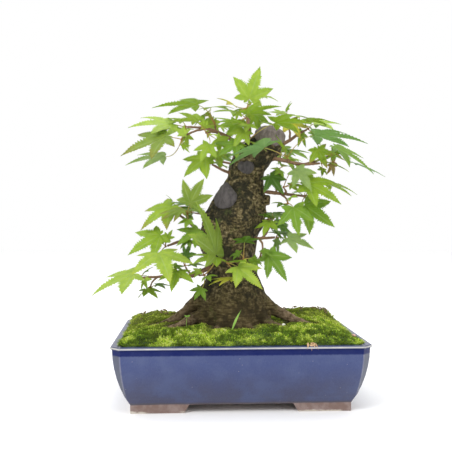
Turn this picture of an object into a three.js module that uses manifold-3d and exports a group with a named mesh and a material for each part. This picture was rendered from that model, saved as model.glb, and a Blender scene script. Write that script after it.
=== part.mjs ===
// A Japanese maple bonsai in a cut-corner glazed pot. Millimetres, +Z up, the front faces -Y.
// The pot, its drainage mesh, the soil, the moss, the trunk with its roots and wound paste, the branches
// with their twigs, and the sprays of leaves are separate solids. The origin is under the middle of the
// whole tree's outline, on the surface that the pot's feet stand on.
import * as THREE from "three";
import { mergeVertices } from "three/addons/utils/BufferGeometryUtils.js";
import Module from "manifold-3d";

const wasm = await Module();
wasm.setup();

// Pot
const potLength = 308;
const potDepth = 230;
const potHeight = 82;
const wallThickness = 7;
const floorThickness = 8;
const footHeight = 10;
const footLength = 70;
const footWidth = 14;
const footSlope = 6;
const lipWidth = 9;
const lipHeight = 4;
const lipOverhang = 2;
const wallDrawIn = 20;
const wallSteps = 6;
const cornerCut = 11;
const leastCut = 1;
const drainRadius = 11;
const drainSpacing = 124;
const meshOverlap = 5;
const meshThickness = 1.2;
const meshBar = 2;
const meshOpenings = 3;

// Soil and moss
const mossThickness = 6;
const moundRise = 14;
const moundRun = 62;
const edgeRise = 1;

// Trunk and roots
const trunkHeight = 262;
const trunkGirth = 1;
const barkLobes = 5;
const barkLobeDepth = 0.045;
const barkTwist = 4;
const rootRadius = 12;
const rootTipRadius = 4;

// Twigs and leaves
const twigRadius = 1;
const budRadius = 1.5;
const stalkRadius = 0.65;
const leastStalkSlope = 0.3;
const seatCover = 0.05;
const leafLength = 50;
const leafThickness = 1;

// Gaps between neighbours
const clearance = 0.3;
const woodClearance = 0.5;
const leafClearance = 0.4;

const floorTop = footHeight + floorThickness;
const cavityRim = lipWidth + clearance;
const wallFoot = lipOverhang + wallDrawIn;

// Banks of soil along the back rim: place right and back, spread right and back, rise.
const banks = [
  [108, 96, 55, 30, 13],
  [-112, 92, 60, 34, 6],
];

// Trunk stations: share of the trunk's height above the rim, centre right and back, half-width.
const trunkStations = [
  [-0.05, -7, 0, 52],
  [0.05, -6, 0, 50],
  [0.16, -3, 0, 45],
  [0.26, -4, 0, 35.5],
  [0.31, -5, 0, 31],
  [0.36, -9, 0, 34],
  [0.46, -13, 0, 38],
  [0.56, -5, 0, 42],
  [0.66, 3, 0, 34],
  [0.76, 11, 0, 25],
  [0.81, 14, 0, 25],
  [0.91, 29, -2, 33],
  [0.96, 37, -4, 24],
  [1, 41, -5, 13],
];

// Surface roots: heading in degrees, reach from the trunk's middle, height where they leave the trunk.
const roots = [
  [185, 100, 54],
  [207, 92, 32],
  [350, 104, 48],
  [325, 74, 30],
  [292, 60, 26],
  [248, 60, 26],
  [60, 72, 34],
  [118, 66, 30],
  [152, 80, 34],
];

// The stub of a cut branch: heading, reach beyond the bark, share of the trunk's height, radius.
const cutStub = { heading: -10, reach: 7, share: 0.66, radius: 8 };

// Patches of wound paste: heading, share of height, half-width, half-height, bulge, upward lean in degrees.
const woundPatches = {
  wound_paste_top: { heading: -78, share: 0.975, halfWidth: 21, halfHeight: 16, bulge: 9, lean: 32 },
  wound_paste_upper: { heading: -104, share: 0.825, halfWidth: 11, halfHeight: 11, bulge: 5, lean: 0 },
  wound_paste_middle: { heading: -126, share: 0.66, halfWidth: 17, halfHeight: 21, bulge: 9, lean: 4 },
};

// Branches. Every place is [heading in degrees, reach beyond the bark, share of the trunk's height].
// A route starts inside the trunk, a twig leaves its branch at a share of the route and ends at its bud.
const branches = {
  apex: {
    radii: [5, 2],
    route: [[-160, -16, 0.93], [-158, 6, 0.975], [-165, 14, 1.04], [-173, 15, 1.12]],
    bud: "apex",
    twigs: {
      scar_front: [0.4, [-118, 20, 0.94]],
      crown_front: [0.62, [-129, 30, 1]],
      crown_back: [0.66, [128, 30, 1.09]],
    },
  },
  crown_left: {
    radii: [4.5, 1.6],
    route: [[-165, -12, 0.92], [-167, 13, 0.95], [-169, 48, 0.99], [-174, 72, 1.015], [-179, 95, 1.025]],
    bud: "left_tip",
    twigs: {
      left_inner: [0.45, [-156, 69, 0.98]],
      left_high: [0.5, [-172, 58, 1.035]],
      left_front: [0.7, [-164, 86, 0.95]],
    },
  },
  crown_left_low: {
    radii: [3, 1.5],
    route: [[-156, -5, 0.79], [-158, 12, 0.81], [-165, 28, 0.84]],
    bud: "left_low",
    twigs: {},
  },
  crown_right: {
    radii: [4.5, 1.6],
    route: [[-30, -5, 0.87], [-35, 17, 0.855], [-22, 41, 0.835], [-15, 66, 0.84]],
    bud: "right_low",
    twigs: {
      right_front: [0.35, [-48, 30, 0.86]],
      right_tip: [0.68, [1, 69, 0.91]],
    },
  },
  top_right: {
    radii: [4.5, 1.6],
    route: [[22, -8, 0.93], [28, 18, 0.97], [25, 38, 1.01], [20, 48, 1.03]],
    bud: "right_high",
    twigs: {
      right_crown: [0.45, [44, 21, 1.09]],
    },
  },
  right_mid: {
    radii: [4.5, 1.6],
    route: [[-27, -12, 0.71], [-28, 7, 0.7], [-23, 25, 0.69], [-5, 54, 0.68]],
    bud: "side_out",
    twigs: {
      side_high: [0.4, [-32, 21, 0.81]],
      side_mid: [0.6, [-30, 30, 0.72]],
      side_front: [0.48, [-37, 40, 0.64]],
    },
  },
  right_low: {
    radii: [3.5, 1.5],
    route: [[-23, -8, 0.47], [-29, 10, 0.47], [-21, 28, 0.475]],
    bud: "low_right_out",
    twigs: {
      low_right: [0.5, [-20, 11, 0.55]],
      low_right_front: [0.42, [-53, 26, 0.385]],
    },
  },
  front: {
    radii: [3, 1.5],
    route: [[-77, -7, 0.355], [-80, 12, 0.36], [-77, 29, 0.375]],
    bud: "front_mid",
    twigs: {
      front_low: [0.5, [-96, 32, 0.36]],
    },
  },
  low_left: {
    radii: [5, 1.6],
    route: [[-152, -6, 0.33], [-146, 15, 0.315], [-146, 32, 0.29], [-154, 62, 0.29], [-159, 94, 0.285]],
    bud: "low_left_tip",
    twigs: {
      front_left: [0.28, [-124, 38, 0.3]],
      low_left_inner: [0.36, [-152, 36, 0.34]],
      low_left: [0.55, [-143, 66, 0.335]],
      low_left_under: [0.8, [-162, 76, 0.235]],
    },
  },
  left_mid: {
    radii: [4, 1.6],
    route: [[-168, -8, 0.42], [-164, 6, 0.445], [-162, 21, 0.46], [-165, 47, 0.43]],
    bud: "left_mid",
    twigs: {
      left_mid_inner: [0.45, [-148, 18, 0.485]],
    },
  },
  left_upper: {
    radii: [4, 1.6],
    route: [[-164, -10, 0.48], [-162, 5, 0.51], [-164, 16, 0.545], [-172, 41, 0.6]],
    bud: "left_up_out",
    twigs: {
      left_up: [0.55, [-155, 29, 0.59]],
    },
  },
  back_high: {
    radii: [4, 1.6],
    route: [[95, -10, 0.82], [100, 12, 0.84], [112, 32, 0.86], [124, 52, 0.88]],
    bud: "back_high_left",
    twigs: {
      back_high_right: [0.42, [62, 38, 0.92]],
    },
  },
  back_low: {
    radii: [4, 1.6],
    route: [[85, -10, 0.5], [80, 12, 0.52], [62, 30, 0.54], [46, 46, 0.57]],
    bud: "back_low_right",
    twigs: {
      back_low_left: [0.4, [134, 44, 0.6]],
    },
  },
};

// Leaves by spray. Each row holds the stalk from the bud to the blade's foot and the blade from its foot to
// its tip, both as [right, back, up] in hundredths of the leaf length, then how far the upper face leans
// forward and to the right, in degrees.
const sprays = {
  apex: [
    [5, -4, 24, 25, -12, 82, 80, 0],
    [36, 8, 34, 40, 44, 10, 30, 0],
    [-38, -6, 8, -42, -18, 16, 30, -20],
    [10, 12, 10, 34, 30, -6, 20, 10],
  ],
  crown_front: [
    [-3, -12, 36, 76, -36, 24, -8, 0],
    [-30, -14, 12, -62, -38, 10, 5, 0],
    [-14, -10, -6, -30, -18, -42, 62, 0],
  ],
  scar_front: [
    [68, -8, 44, 92, -30, 4, -14, 5],
    [-28, -10, -8, -44, -34, -30, 45, 0],
  ],
  crown_back: [
    [-24, 16, 20, -66, 44, 12, 0, 0],
    [16, 24, 24, 34, 66, 18, -10, 0],
    [34, 4, -8, 62, 40, -6, 10, 0],
    [-22, -2, -14, -40, -8, -50, 60, -10],
    [20, -14, -6, 14, -14, -56, 66, 10],
  ],
  left_high: [
    [-44, -8, 48, -114, -30, -2, -8, 0],
    [-26, 12, 26, -10, 46, -20, 30, -20],
    [-6, 10, 34, 60, 44, 14, 0, 0],
    [-6, 6, 18, -30, 14, -44, 50, 0],
  ],
  left_tip: [
    [-34, -6, 6, -106, -24, 2, 30, 0],
    [-16, 22, 8, -58, 62, -4, 0, 0],
  ],
  left_front: [
    [-42, -6, 10, -108, -20, -34, 32, 0],
    [-40, -10, -30, -94, -30, -6, -16, 0],
  ],
  left_inner: [
    [-24, -8, 28, -46, -34, 22, -10, 0],
    [8, 2, -24, -26, -16, -46, 65, -20],
    [26, 10, 0, 40, 10, -30, 55, 0],
  ],
  left_low: [
    [-14, -8, 12, -56, -26, -46, 60, -10],
    [12, -4, 26, 20, -30, -34, 55, 20],
  ],
  right_front: [
    [-66, -16, 26, -114, -52, -20, -22, 0],
    [66, -10, 56, 134, -40, -8, -10, 0],
  ],
  right_low: [
    [-12, -8, 36, 20, -18, -52, 70, 0],
    [18, 14, 10, 60, 40, -16, 20, 0],
  ],
  right_tip: [
    [-6, -24, 10, 92, -34, -60, 16, 0],
    [50, 8, -24, 88, -14, -34, 8, 0],
    [-8, 10, -22, 10, 22, -34, 50, 0],
  ],
  right_high: [
    [18, 6, 16, 80, 18, 8, 25, 0],
    [-4, -26, 8, 56, -34, 4, -6, 0],
    [-10, 26, -8, -14, 30, -34, 50, 0],
  ],
  right_crown: [
    [-6, 6, 10, -16, 34, 22, 20, 0],
    [20, -8, 4, 52, -14, -4, 10, 0],
    [22, -16, 2, 34, -12, -50, 55, 10],
  ],
  side_high: [
    [-22, -6, -18, 30, -16, -48, 72, 0],
    [20, 10, 16, 50, 44, -10, 20, 0],
  ],
  side_mid: [
    [34, -8, 40, 38, -24, -46, 62, 0],
    [60, -4, 10, 88, -24, -46, 50, 10],
  ],
  side_front: [
    [12, -10, -10, 12, -20, -70, 78, 0],
  ],
  side_out: [
    [-6, -22, -26, 84, -24, -54, 55, 0],
    [56, 2, 40, 102, -20, -14, 20, 0],
    [6, 30, 18, 40, 66, 12, 0, 0],
  ],
  low_right: [
    [-6, -14, -6, -26, -30, -34, 50, -20],
  ],
  low_right_out: [
    [28, -8, -2, 66, -28, -22, 32, 0],
    [8, 16, 14, 44, 56, 6, 0, 10],
  ],
  low_right_front: [
    [20, -8, 4, 50, -20, -54, 62, 10],
  ],
  front_mid: [
    [2, -8, 42, 4, -54, 24, 10, 0],
  ],
  front_low: [
    [28, -10, -8, 56, -24, -46, 55, 10],
    [18, -4, -32, -66, -24, -8, 8, 0],
  ],
  front_left: [
    [38, -18, 52, -22, -20, 134, 70, 62],
    [30, -4, 40, -70, -28, -2, 25, 0],
    [-6, -8, -32, -22, -18, -26, 45, 0],
  ],
  low_left_inner: [
    [4, -6, 24, 12, -16, 36, 40, 0],
    [-4, 16, 18, -40, 44, 10, 0, 0],
  ],
  low_left: [
    [-28, -12, 38, 30, -100, -50, 34, 0],
    [18, -16, -6, -10, -60, -36, 20, 0],
  ],
  low_left_under: [
    [-8, -8, -4, 32, -34, -16, 15, 0],
  ],
  low_left_tip: [
    [-16, -6, 10, -106, -26, -36, 14, 0],
    [-12, 18, 6, -56, 50, -10, 5, 0],
  ],
  left_mid: [
    [-14, -8, 28, -78, -26, -40, 38, 0],
    [-14, 14, 10, -56, 48, -4, 5, 0],
  ],
  left_mid_inner: [
    [16, -10, 10, -58, -28, -28, 40, 0],
  ],
  left_up: [
    [8, -12, 28, 32, -18, 66, 78, 0],
    [-10, -6, 12, -50, -40, -20, 30, 0],
  ],
  left_up_out: [
    [-10, -6, 14, -86, -28, -50, 25, 0],
    [-12, 16, 6, -54, 50, 4, 0, 0],
  ],
  back_high_left: [
    [-30, 16, 8, -66, 40, -16, -10, -10],
    [4, 30, 10, -8, 80, -12, -20, 0],
    [-8, -4, 24, -60, 8, 22, 10, -10],
    [26, 12, 12, 52, 50, -10, -10, 20],
  ],
  back_high_right: [
    [28, 14, 8, 68, 38, -10, -10, 10],
    [6, 30, 8, 20, 78, -16, -20, 0],
    [20, -6, -14, 60, 0, -34, 30, 10],
  ],
  back_low_left: [
    [-28, 14, 8, -66, 40, -14, -10, -10],
    [0, 30, 8, -10, 78, -18, -20, 0],
    [-12, -2, 22, -60, 10, 10, 10, 0],
  ],
  back_low_right: [
    [28, 14, 8, 68, 36, -16, -10, 10],
    [4, 30, 8, 14, 78, -20, -20, 0],
    [16, -4, -18, 50, 8, -40, 30, 0],
  ],
};

// Lobes of the blade: heading from the middle lobe in degrees, length and half-width in leaf lengths.
const leafLobes = [
  [-104, 0.46, 0],
  [-50, 0.82, 0.11],
  [0, 1, 0.13],
  [50, 0.82, 0.11],
  [104, 0.46, 0],
];
const lobeBelly = 0.58;
const innerNotch = 0.34;
const outerNotch = 0.22;

// Steps of the spiral on which a leaf looks for a free place.
const goldenAngle = Math.PI * (3 - Math.sqrt(5));
const turnStep = THREE.MathUtils.degToRad(6);
const liftStep = 2;
const mostAttempts = 250;

const up = new THREE.Vector3(0, 0, 1);

// A closed geometry as a solid: its shared corners are welded and its flat-out triangles dropped.
function solidOf(geometry) {
  geometry.deleteAttribute("normal");
  geometry.deleteAttribute("uv");
  const welded = mergeVertices(geometry);
  const corners = welded.index.array;
  const triVerts = [];
  for (let start = 0; start < corners.length; start += 3) {
    const [a, b, c] = corners.slice(start, start + 3);
    if (a !== b && b !== c && c !== a) triVerts.push(a, b, c);
  }
  const vertProperties = welded.attributes.position.array;
  const mesh = new wasm.Mesh({ numProp: 3, vertProperties, triVerts: Uint32Array.from(triVerts) });
  return new wasm.Manifold(mesh);
}

// A solid's triangles as a geometry.
function geometryOf(solid) {
  const { vertProperties, triVerts } = solid.getMesh();
  const geometry = new THREE.BufferGeometry();
  geometry.setAttribute("position", new THREE.BufferAttribute(vertProperties, 3));
  geometry.setIndex(new THREE.BufferAttribute(triVerts, 1));
  geometry.computeVertexNormals();
  return geometry;
}

// The pot's plan drawn in by an inset: points counter-clockwise from the right side's front corner.
function planRing(inset, lengthCells, depthCells) {
  const halfLength = potLength / 2 - inset;
  const halfDepth = potDepth / 2 - inset;
  const cut = Math.max(cornerCut - inset * (2 - Math.SQRT2), leastCut);
  const corners = [
    [halfLength, cut - halfDepth, depthCells],
    [halfLength, halfDepth - cut, 1],
    [halfLength - cut, halfDepth, lengthCells],
    [cut - halfLength, halfDepth, 1],
    [-halfLength, halfDepth - cut, depthCells],
    [-halfLength, cut - halfDepth, 1],
    [cut - halfLength, -halfDepth, lengthCells],
    [halfLength - cut, -halfDepth, 1],
  ];
  return corners.flatMap(([x, y, cells], index) => {
    const [nextX, nextY] = corners[(index + 1) % corners.length];
    const shares = Array.from({ length: cells }, (_, step) => step / cells);
    return shares.map((share) => [THREE.MathUtils.lerp(x, nextX, share), THREE.MathUtils.lerp(y, nextY, share)]);
  });
}

// A solid of pot-shaped rings, from a profile of [inset, height]. An inset of null is the middle, and a
// height may be a function of the place in plan.
function potShaped(profile, lengthCells = 1, depthCells = 1) {
  const columns = 2 * (lengthCells + depthCells) + 4;
  const outline = profile.map(([inset], step) => new THREE.Vector2(inset === null ? 0 : 1, step));
  const geometry = new THREE.LatheGeometry(outline, columns);
  const places = geometry.attributes.position;
  profile.forEach(([inset, height], step) => {
    const ring = inset === null ? [] : planRing(inset, lengthCells, depthCells);
    for (let column = 0; column <= columns; column += 1) {
      const [x, y] = ring[column % columns] ?? [0, 0];
      const z = typeof height === "function" ? height(x, y) : height;
      places.setXYZ(column * profile.length + step, x, y, z);
    }
  });
  return solidOf(geometry);
}

// The outside of the wall from its foot up to the lip, and the inside from the lip down, drawn in by extra.
function wallProfile(extra, bottom, top) {
  return Array.from({ length: wallSteps + 1 }, (_, step) => {
    const share = step / wallSteps;
    return [lipOverhang + wallDrawIn * (1 - share) ** 2 + extra, THREE.MathUtils.lerp(bottom, top, share)];
  });
}

// A straight bar of trapezoid section through the pot's middle that parts the feet on two sides.
function footGap(gapLength, alongX) {
  const half = gapLength / 2;
  const shape = new THREE.Shape();
  shape.moveTo(-half, footHeight);
  shape.lineTo(-half - footSlope - footSlope / footHeight, -1);
  shape.lineTo(half + footSlope + footSlope / footHeight, -1);
  shape.lineTo(half, footHeight);
  const reach = potLength + potDepth;
  const geometry = new THREE.ExtrudeGeometry(shape, { depth: reach, bevelEnabled: false });
  geometry.translate(0, 0, -reach / 2);
  geometry.rotateX(Math.PI / 2);
  if (!alongX) geometry.rotateZ(Math.PI / 2);
  return solidOf(geometry);
}

function drainPlaces() {
  return [-drainSpacing / 2, drainSpacing / 2];
}

function potSolid() {
  const lipBottom = potHeight - lipHeight;
  const wall = potShaped([
    [null, footHeight],
    ...wallProfile(0, footHeight, lipBottom),
    [0, lipBottom + lipOverhang / 2],
    [0, potHeight - 1],
    [1, potHeight],
    [lipWidth, potHeight],
    ...wallProfile(wallThickness, floorTop, lipBottom).reverse(),
    [null, floorTop],
  ]);
  const overlap = floorThickness / 4;
  const footRing = potShaped([
    [wallFoot, 0],
    [wallFoot, footHeight + overlap],
    [wallFoot + footWidth, footHeight + overlap],
    [wallFoot + footWidth, 0],
    [wallFoot, 0],
  ]);
  const feet = footRing
    .subtract(footGap(potLength - 2 * (wallFoot + footLength), true))
    .subtract(footGap(potDepth - 2 * (wallFoot + footLength), false));
  return drainPlaces().reduce((pot, x) => {
    const hole = new THREE.CylinderGeometry(drainRadius, drainRadius, potHeight, 16);
    hole.rotateX(Math.PI / 2);
    hole.translate(x, 0, 0);
    return pot.subtract(solidOf(hole));
  }, wall.add(feet));
}

// A square plate with a grid of openings, lying on the floor over a drain hole.
function drainMeshSolid(x) {
  const side = 2 * (drainRadius + meshOverlap);
  const opening = (side - meshBar * (meshOpenings + 1)) / meshOpenings;
  const middle = floorTop + clearance + meshThickness / 2;
  let plate = solidOf(new THREE.BoxGeometry(side, side, meshThickness).translate(x, 0, middle));
  for (let row = 0; row < meshOpenings; row += 1) {
    for (let column = 0; column < meshOpenings; column += 1) {
      const pitch = opening + meshBar;
      const hole = new THREE.BoxGeometry(opening, opening, 3 * meshThickness);
      const first = (1 - meshOpenings) / 2;
      hole.translate(x + (first + column) * pitch, (first + row) * pitch, middle);
      plate = plate.subtract(solidOf(hole));
    }
  }
  return plate;
}

// Height of the moss at a place in plan: a mound round the trunk and the banks at the back.
function groundHeight(x, y) {
  const inward = Math.min(potLength / 2 - Math.abs(x), potDepth / 2 - Math.abs(y)) - lipWidth;
  const share = THREE.MathUtils.clamp(inward / moundRun, 0, 1);
  const mound = moundRise * (1 - (1 - share) ** 2);
  const raised = banks.map(([bankX, bankY, spreadX, spreadY, rise]) => (
    rise * Math.exp(-(((x - bankX) / spreadX) ** 2) - ((y - bankY) / spreadY) ** 2)
  ));
  return potHeight + edgeRise + mound + Math.max(...raised);
}

// Ground rings from the rim to the middle, lowered by a depth below the moss's surface.
function groundProfile(depth) {
  const insets = [0, 6, 18, 36, 60, 84].map((step) => cavityRim + step);
  return [...insets, null].map((inset) => [inset, (x, y) => groundHeight(x, y) - depth]);
}

const lengthCells = 5;
const depthCells = 3;

function soilSolid() {
  const body = potShaped([
    [null, floorTop + clearance],
    ...wallProfile(wallThickness + clearance, floorTop + clearance, potHeight - lipHeight).slice(0, -1),
    ...groundProfile(mossThickness + clearance),
  ], lengthCells, depthCells);
  const side = 2 * (drainRadius + meshOverlap + clearance);
  const pocketTop = floorTop + meshThickness + 2 * clearance;
  return drainPlaces().reduce((soil, x) => {
    const pocket = new THREE.BoxGeometry(side, side, 2 * pocketTop).translate(x, 0, 0);
    return soil.subtract(solidOf(pocket));
  }, body.subtract(trunkSolid(woodClearance)));
}

// The ground inside the rim from just above the pot's floor up to a depth below the moss's surface.
function groundBlock(depth) {
  return potShaped([[null, floorTop], [cavityRim, floorTop], ...groundProfile(depth)], lengthCells, depthCells);
}

function mossSolid() {
  return groundBlock(0).subtract(groundBlock(mossThickness)).subtract(trunkSolid(woodClearance));
}

// The trunk's centre and half-width at a share of its height.
function trunkAt(share) {
  const last = trunkStations.length - 1;
  const next = trunkStations.findIndex(([stationShare]) => stationShare >= share);
  const above = next < 0 ? last : Math.max(next, 1);
  const [low, high] = [trunkStations[above - 1], trunkStations[above]];
  const blend = THREE.MathUtils.clamp((share - low[0]) / (high[0] - low[0]), 0, 1);
  const [, x, y, radius] = low.map((value, index) => THREE.MathUtils.lerp(value, high[index], blend));
  return { x, y, radius: radius * trunkGirth };
}

// A place on the tree: heading in degrees, reach beyond the bark and share of the trunk's height.
function placeOf([heading, reach, share]) {
  const { x, y, radius } = trunkAt(share);
  const turn = THREE.MathUtils.degToRad(heading);
  const distance = radius + reach;
  return new THREE.Vector3(
    x + distance * Math.cos(turn),
    y + distance * Math.sin(turn),
    potHeight + share * trunkHeight,
  );
}

// A round bar along a curve, tapered from one radius to the other.
function taperedLimb(curve, baseRadius, tipRadius, sides, steps) {
  const geometry = new THREE.CylinderGeometry(1, 1, 1, sides, steps);
  const frames = curve.computeFrenetFrames(steps);
  const places = geometry.attributes.position;
  const place = new THREE.Vector3();
  for (let index = 0; index < places.count; index += 1) {
    const step = Math.round((places.getY(index) + 0.5) * steps);
    const radius = THREE.MathUtils.lerp(baseRadius, tipRadius, step / steps);
    place.copy(curve.getPointAt(step / steps));
    place.addScaledVector(frames.binormals[step], places.getX(index) * radius);
    place.addScaledVector(frames.normals[step], places.getZ(index) * radius);
    places.setXYZ(index, place.x, place.y, place.z);
  }
  return solidOf(geometry);
}

// A root leaves the trunk low down, falls in a hollow curve and dips under the moss at its tip.
function rootLimb([heading, reach, startHeight], extra) {
  const turn = THREE.MathUtils.degToRad(heading);
  const { x, y } = trunkAt(0);
  const pointAt = (share, height) => new THREE.Vector3(
    x + share * reach * Math.cos(turn),
    y + share * reach * Math.sin(turn),
    height,
  );
  const tip = pointAt(1, 0);
  const tipHeight = groundHeight(tip.x, tip.y) - rootTipRadius - 1;
  const heightAt = (share) => tipHeight + (potHeight + startHeight - tipHeight) * share;
  const curve = new THREE.CatmullRomCurve3([
    pointAt(0.3, heightAt(1)),
    pointAt(0.52, heightAt(0.55)),
    pointAt(0.76, heightAt(0.2)),
    pointAt(1 + extra / reach, tipHeight),
  ]);
  return taperedLimb(curve, rootRadius + extra, rootTipRadius + extra, 7, 4);
}

// The trunk with its surface roots and the stub of a cut branch, every face moved out by extra.
function trunkSolid(extra) {
  const sides = 22;
  const steps = 20;
  const geometry = new THREE.CylinderGeometry(1, 1, 1, sides, steps);
  const places = geometry.attributes.position;
  const foot = trunkStations[0][0];
  for (let index = 0; index < places.count; index += 1) {
    const share = THREE.MathUtils.lerp(foot, 1, places.getY(index) + 0.5);
    const turn = Math.atan2(places.getX(index), places.getZ(index));
    const { x, y, radius } = trunkAt(share);
    const lobes = 1 + barkLobeDepth * Math.cos(barkLobes * turn + barkTwist * share * Math.PI);
    const reach = Math.hypot(places.getX(index), places.getZ(index)) * (radius * lobes + extra);
    const end = Math.sign(places.getY(index)) * (Math.abs(places.getY(index)) === 0.5 ? extra : 0);
    const height = potHeight + share * trunkHeight + end;
    places.setXYZ(index, x + reach * Math.cos(turn), y + reach * Math.sin(turn), height);
  }
  const { heading, reach, share, radius } = cutStub;
  const stubCurve = new THREE.LineCurve3(placeOf([heading, -radius, share]), placeOf([heading, reach + extra, share]));
  const stub = taperedLimb(stubCurve, radius + extra, radius * 0.75 + extra, 8, 1);
  return wasm.Manifold.union([solidOf(geometry), stub, ...roots.map((root) => rootLimb(root, extra))]);
}

// A patch of paste: a flattened ball on the bark with the trunk taken out of it.
function woundPatch({ heading, share, halfWidth, halfHeight, bulge, lean }) {
  const turn = THREE.MathUtils.degToRad(heading);
  const tilt = THREE.MathUtils.degToRad(lean);
  const outward = new THREE.Vector3(Math.cos(turn) * Math.cos(tilt), Math.sin(turn) * Math.cos(tilt), Math.sin(tilt));
  const side = new THREE.Vector3().crossVectors(outward, up).normalize();
  const upward = new THREE.Vector3().crossVectors(side, outward);
  const geometry = new THREE.SphereGeometry(1, 14, 10);
  geometry.scale(halfWidth, bulge, halfHeight);
  geometry.applyMatrix4(new THREE.Matrix4().makeBasis(side, outward, upward));
  const middle = placeOf([heading, -bulge / 3, share]);
  geometry.translate(middle.x, middle.y, middle.z);
  return solidOf(geometry).subtract(trunkSolid(woodClearance));
}

// A branch with its twigs. Each twig ends short of its bud by the clearance.
function branchSolid({ radii, route, bud, twigs }, buds) {
  const path = new THREE.CatmullRomCurve3(shortened(route.map(placeOf)));
  const stem = taperedLimb(path, radii[0], radii[1], 5, 2 * (route.length - 1));
  buds[bud] = placeOf(route.at(-1));
  const shoots = Object.entries(twigs).map(([twigBud, [share, place]]) => {
    buds[twigBud] = placeOf(place);
    const start = path.getPointAt(share);
    const heading = path.getTangentAt(share);
    const span = buds[twigBud].distanceTo(start);
    const bend = start.clone().addScaledVector(heading, span / 4).lerp(buds[twigBud], 0.4);
    const curve = new THREE.CatmullRomCurve3(shortened([start, bend, buds[twigBud]]));
    return taperedLimb(curve, twigRadius * 1.8, twigRadius, 4, 3);
  });
  return wasm.Manifold.union([stem, ...shoots]).subtract(trunkSolid(woodClearance));
}

// A route whose last point is pulled back so that a bud fits in front of it.
function shortened(points) {
  const [before, last] = points.slice(-2);
  const back = before.clone().sub(last).setLength(budRadius + clearance);
  return [...points.slice(0, -1), last.clone().add(back)];
}

// The blade's outline: its foot, then each lobe's sides and tip with a notch between lobes.
function bladeShape(length) {
  const points = [new THREE.Vector2(0, 0)];
  leafLobes.forEach(([heading, reach, halfWidth], index) => {
    const turn = THREE.MathUtils.degToRad(heading);
    const along = new THREE.Vector2(Math.sin(turn), Math.cos(turn));
    const across = new THREE.Vector2(Math.cos(turn), -Math.sin(turn));
    const belly = along.clone().multiplyScalar(reach * lobeBelly);
    if (halfWidth > 0) points.push(belly.clone().addScaledVector(across, -halfWidth));
    points.push(along.clone().multiplyScalar(reach));
    if (halfWidth > 0) points.push(belly.clone().addScaledVector(across, halfWidth));
    if (index < leafLobes.length - 1) {
      const between = THREE.MathUtils.degToRad((heading + leafLobes[index + 1][0]) / 2);
      const outer = index === 0 || index === leafLobes.length - 2;
      const notch = outer ? outerNotch : innerNotch;
      points.push(new THREE.Vector2(Math.sin(between) * notch, Math.cos(between) * notch));
    }
  });
  return new THREE.Shape(points.map((point) => point.multiplyScalar(length)));
}

// One leaf of a row, turned about its bud and lifted: the blade lies on its stalk's end.
function leafSolids(bud, row, turn, lift) {
  const scale = leafLength / 100;
  const stalk = new THREE.Vector3(...row.slice(0, 3)).multiplyScalar(scale).applyAxisAngle(up, turn);
  const axis = new THREE.Vector3(...row.slice(3, 6)).multiplyScalar(scale).applyAxisAngle(up, turn);
  const length = axis.length();
  axis.divideScalar(length);
  const [forward, sideways] = row.slice(6).map(THREE.MathUtils.degToRad);
  const face = new THREE.Vector3(
    Math.sin(sideways),
    -Math.cos(sideways) * Math.sin(forward),
    Math.cos(sideways) * Math.cos(forward),
  );
  const side = new THREE.Vector3().crossVectors(axis, face).normalize();
  const top = new THREE.Vector3().crossVectors(side, axis);
  const foot = bud.clone().add(stalk).addScaledVector(up, lift);
  const plate = new THREE.ExtrudeGeometry(bladeShape(length), { depth: leafThickness, bevelEnabled: false });
  plate.applyMatrix4(new THREE.Matrix4().makeBasis(side, axis, top));
  plate.translate(foot.x, foot.y, foot.z);
  const curve = stalkCurve(bud, foot, axis, side, top);
  return { blade: solidOf(plate), stalk: taperedLimb(curve, stalkRadius, stalkRadius, 3, 3) };
}

// A stalk's curve from its bud into the blade just inside the foot. It comes up from under the blade, or
// from behind the foot where the bud isn't under the blade, so that the upper face stays whole.
function stalkCurve(bud, foot, axis, side, top) {
  const seat = foot.clone().addScaledVector(axis, stalkRadius * 2);
  seat.addScaledVector(top, leafThickness - stalkRadius - seatCover);
  const back = bud.clone().sub(seat);
  const span = back.length();
  const least = -span * leastStalkSlope;
  const under = back.dot(top) < least;
  const along = under ? back.dot(axis) : Math.min(back.dot(axis), least);
  const approach = new THREE.Vector3()
    .addScaledVector(axis, along)
    .addScaledVector(side, back.dot(side))
    .addScaledVector(top, Math.min(back.dot(top), least))
    .setLength(span / 3)
    .add(seat);
  const rise = bud.clone().lerp(approach, 0.5).addScaledVector(up, span / 20);
  return new THREE.CatmullRomCurve3([bud, rise, approach, seat]);
}

// Whether two solids come closer than a gap.
function tooClose(one, other, gap) {
  return one.minGap(other, 2 * gap) < gap;
}

function budSolid(bud) {
  return solidOf(new THREE.OctahedronGeometry(budRadius).translate(bud.x, bud.y, bud.z));
}

// A spray: its bud, stalks and blades in one piece. A leaf that would touch its neighbours tries a widening
// spiral of small turns and lifts until it is clear.
function spraySolid(bud, rows, neighbours) {
  const leaves = [];
  rows.forEach((row) => {
    const placedBefore = leaves.length;
    for (let attempt = 0; attempt < mostAttempts; attempt += 1) {
      const spiral = attempt * goldenAngle;
      const spread = Math.sqrt(attempt);
      const turn = turnStep * spread * Math.cos(spiral);
      const lift = liftStep * spread * Math.sin(spiral);
      const leaf = leafSolids(bud, row, turn, lift);
      const clearOfOwn = leaves.every(({ blade, stalk }) => !tooClose(leaf.blade, blade, leafClearance)
        && !tooClose(leaf.blade, stalk, leafClearance) && !tooClose(leaf.stalk, blade, leafClearance));
      const whole = leaf.blade.add(leaf.stalk);
      if (clearOfOwn && neighbours.every((other) => !tooClose(whole, other, clearance * 0.8))) {
        leaves.push(leaf);
        break;
      }
    }
    if (leaves.length === placedBefore) throw new Error(`no free place for the leaf ${row}`);
  });
  return wasm.Manifold.union([budSolid(bud), ...leaves.flatMap(({ blade, stalk }) => [blade, stalk])]);
}

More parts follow.
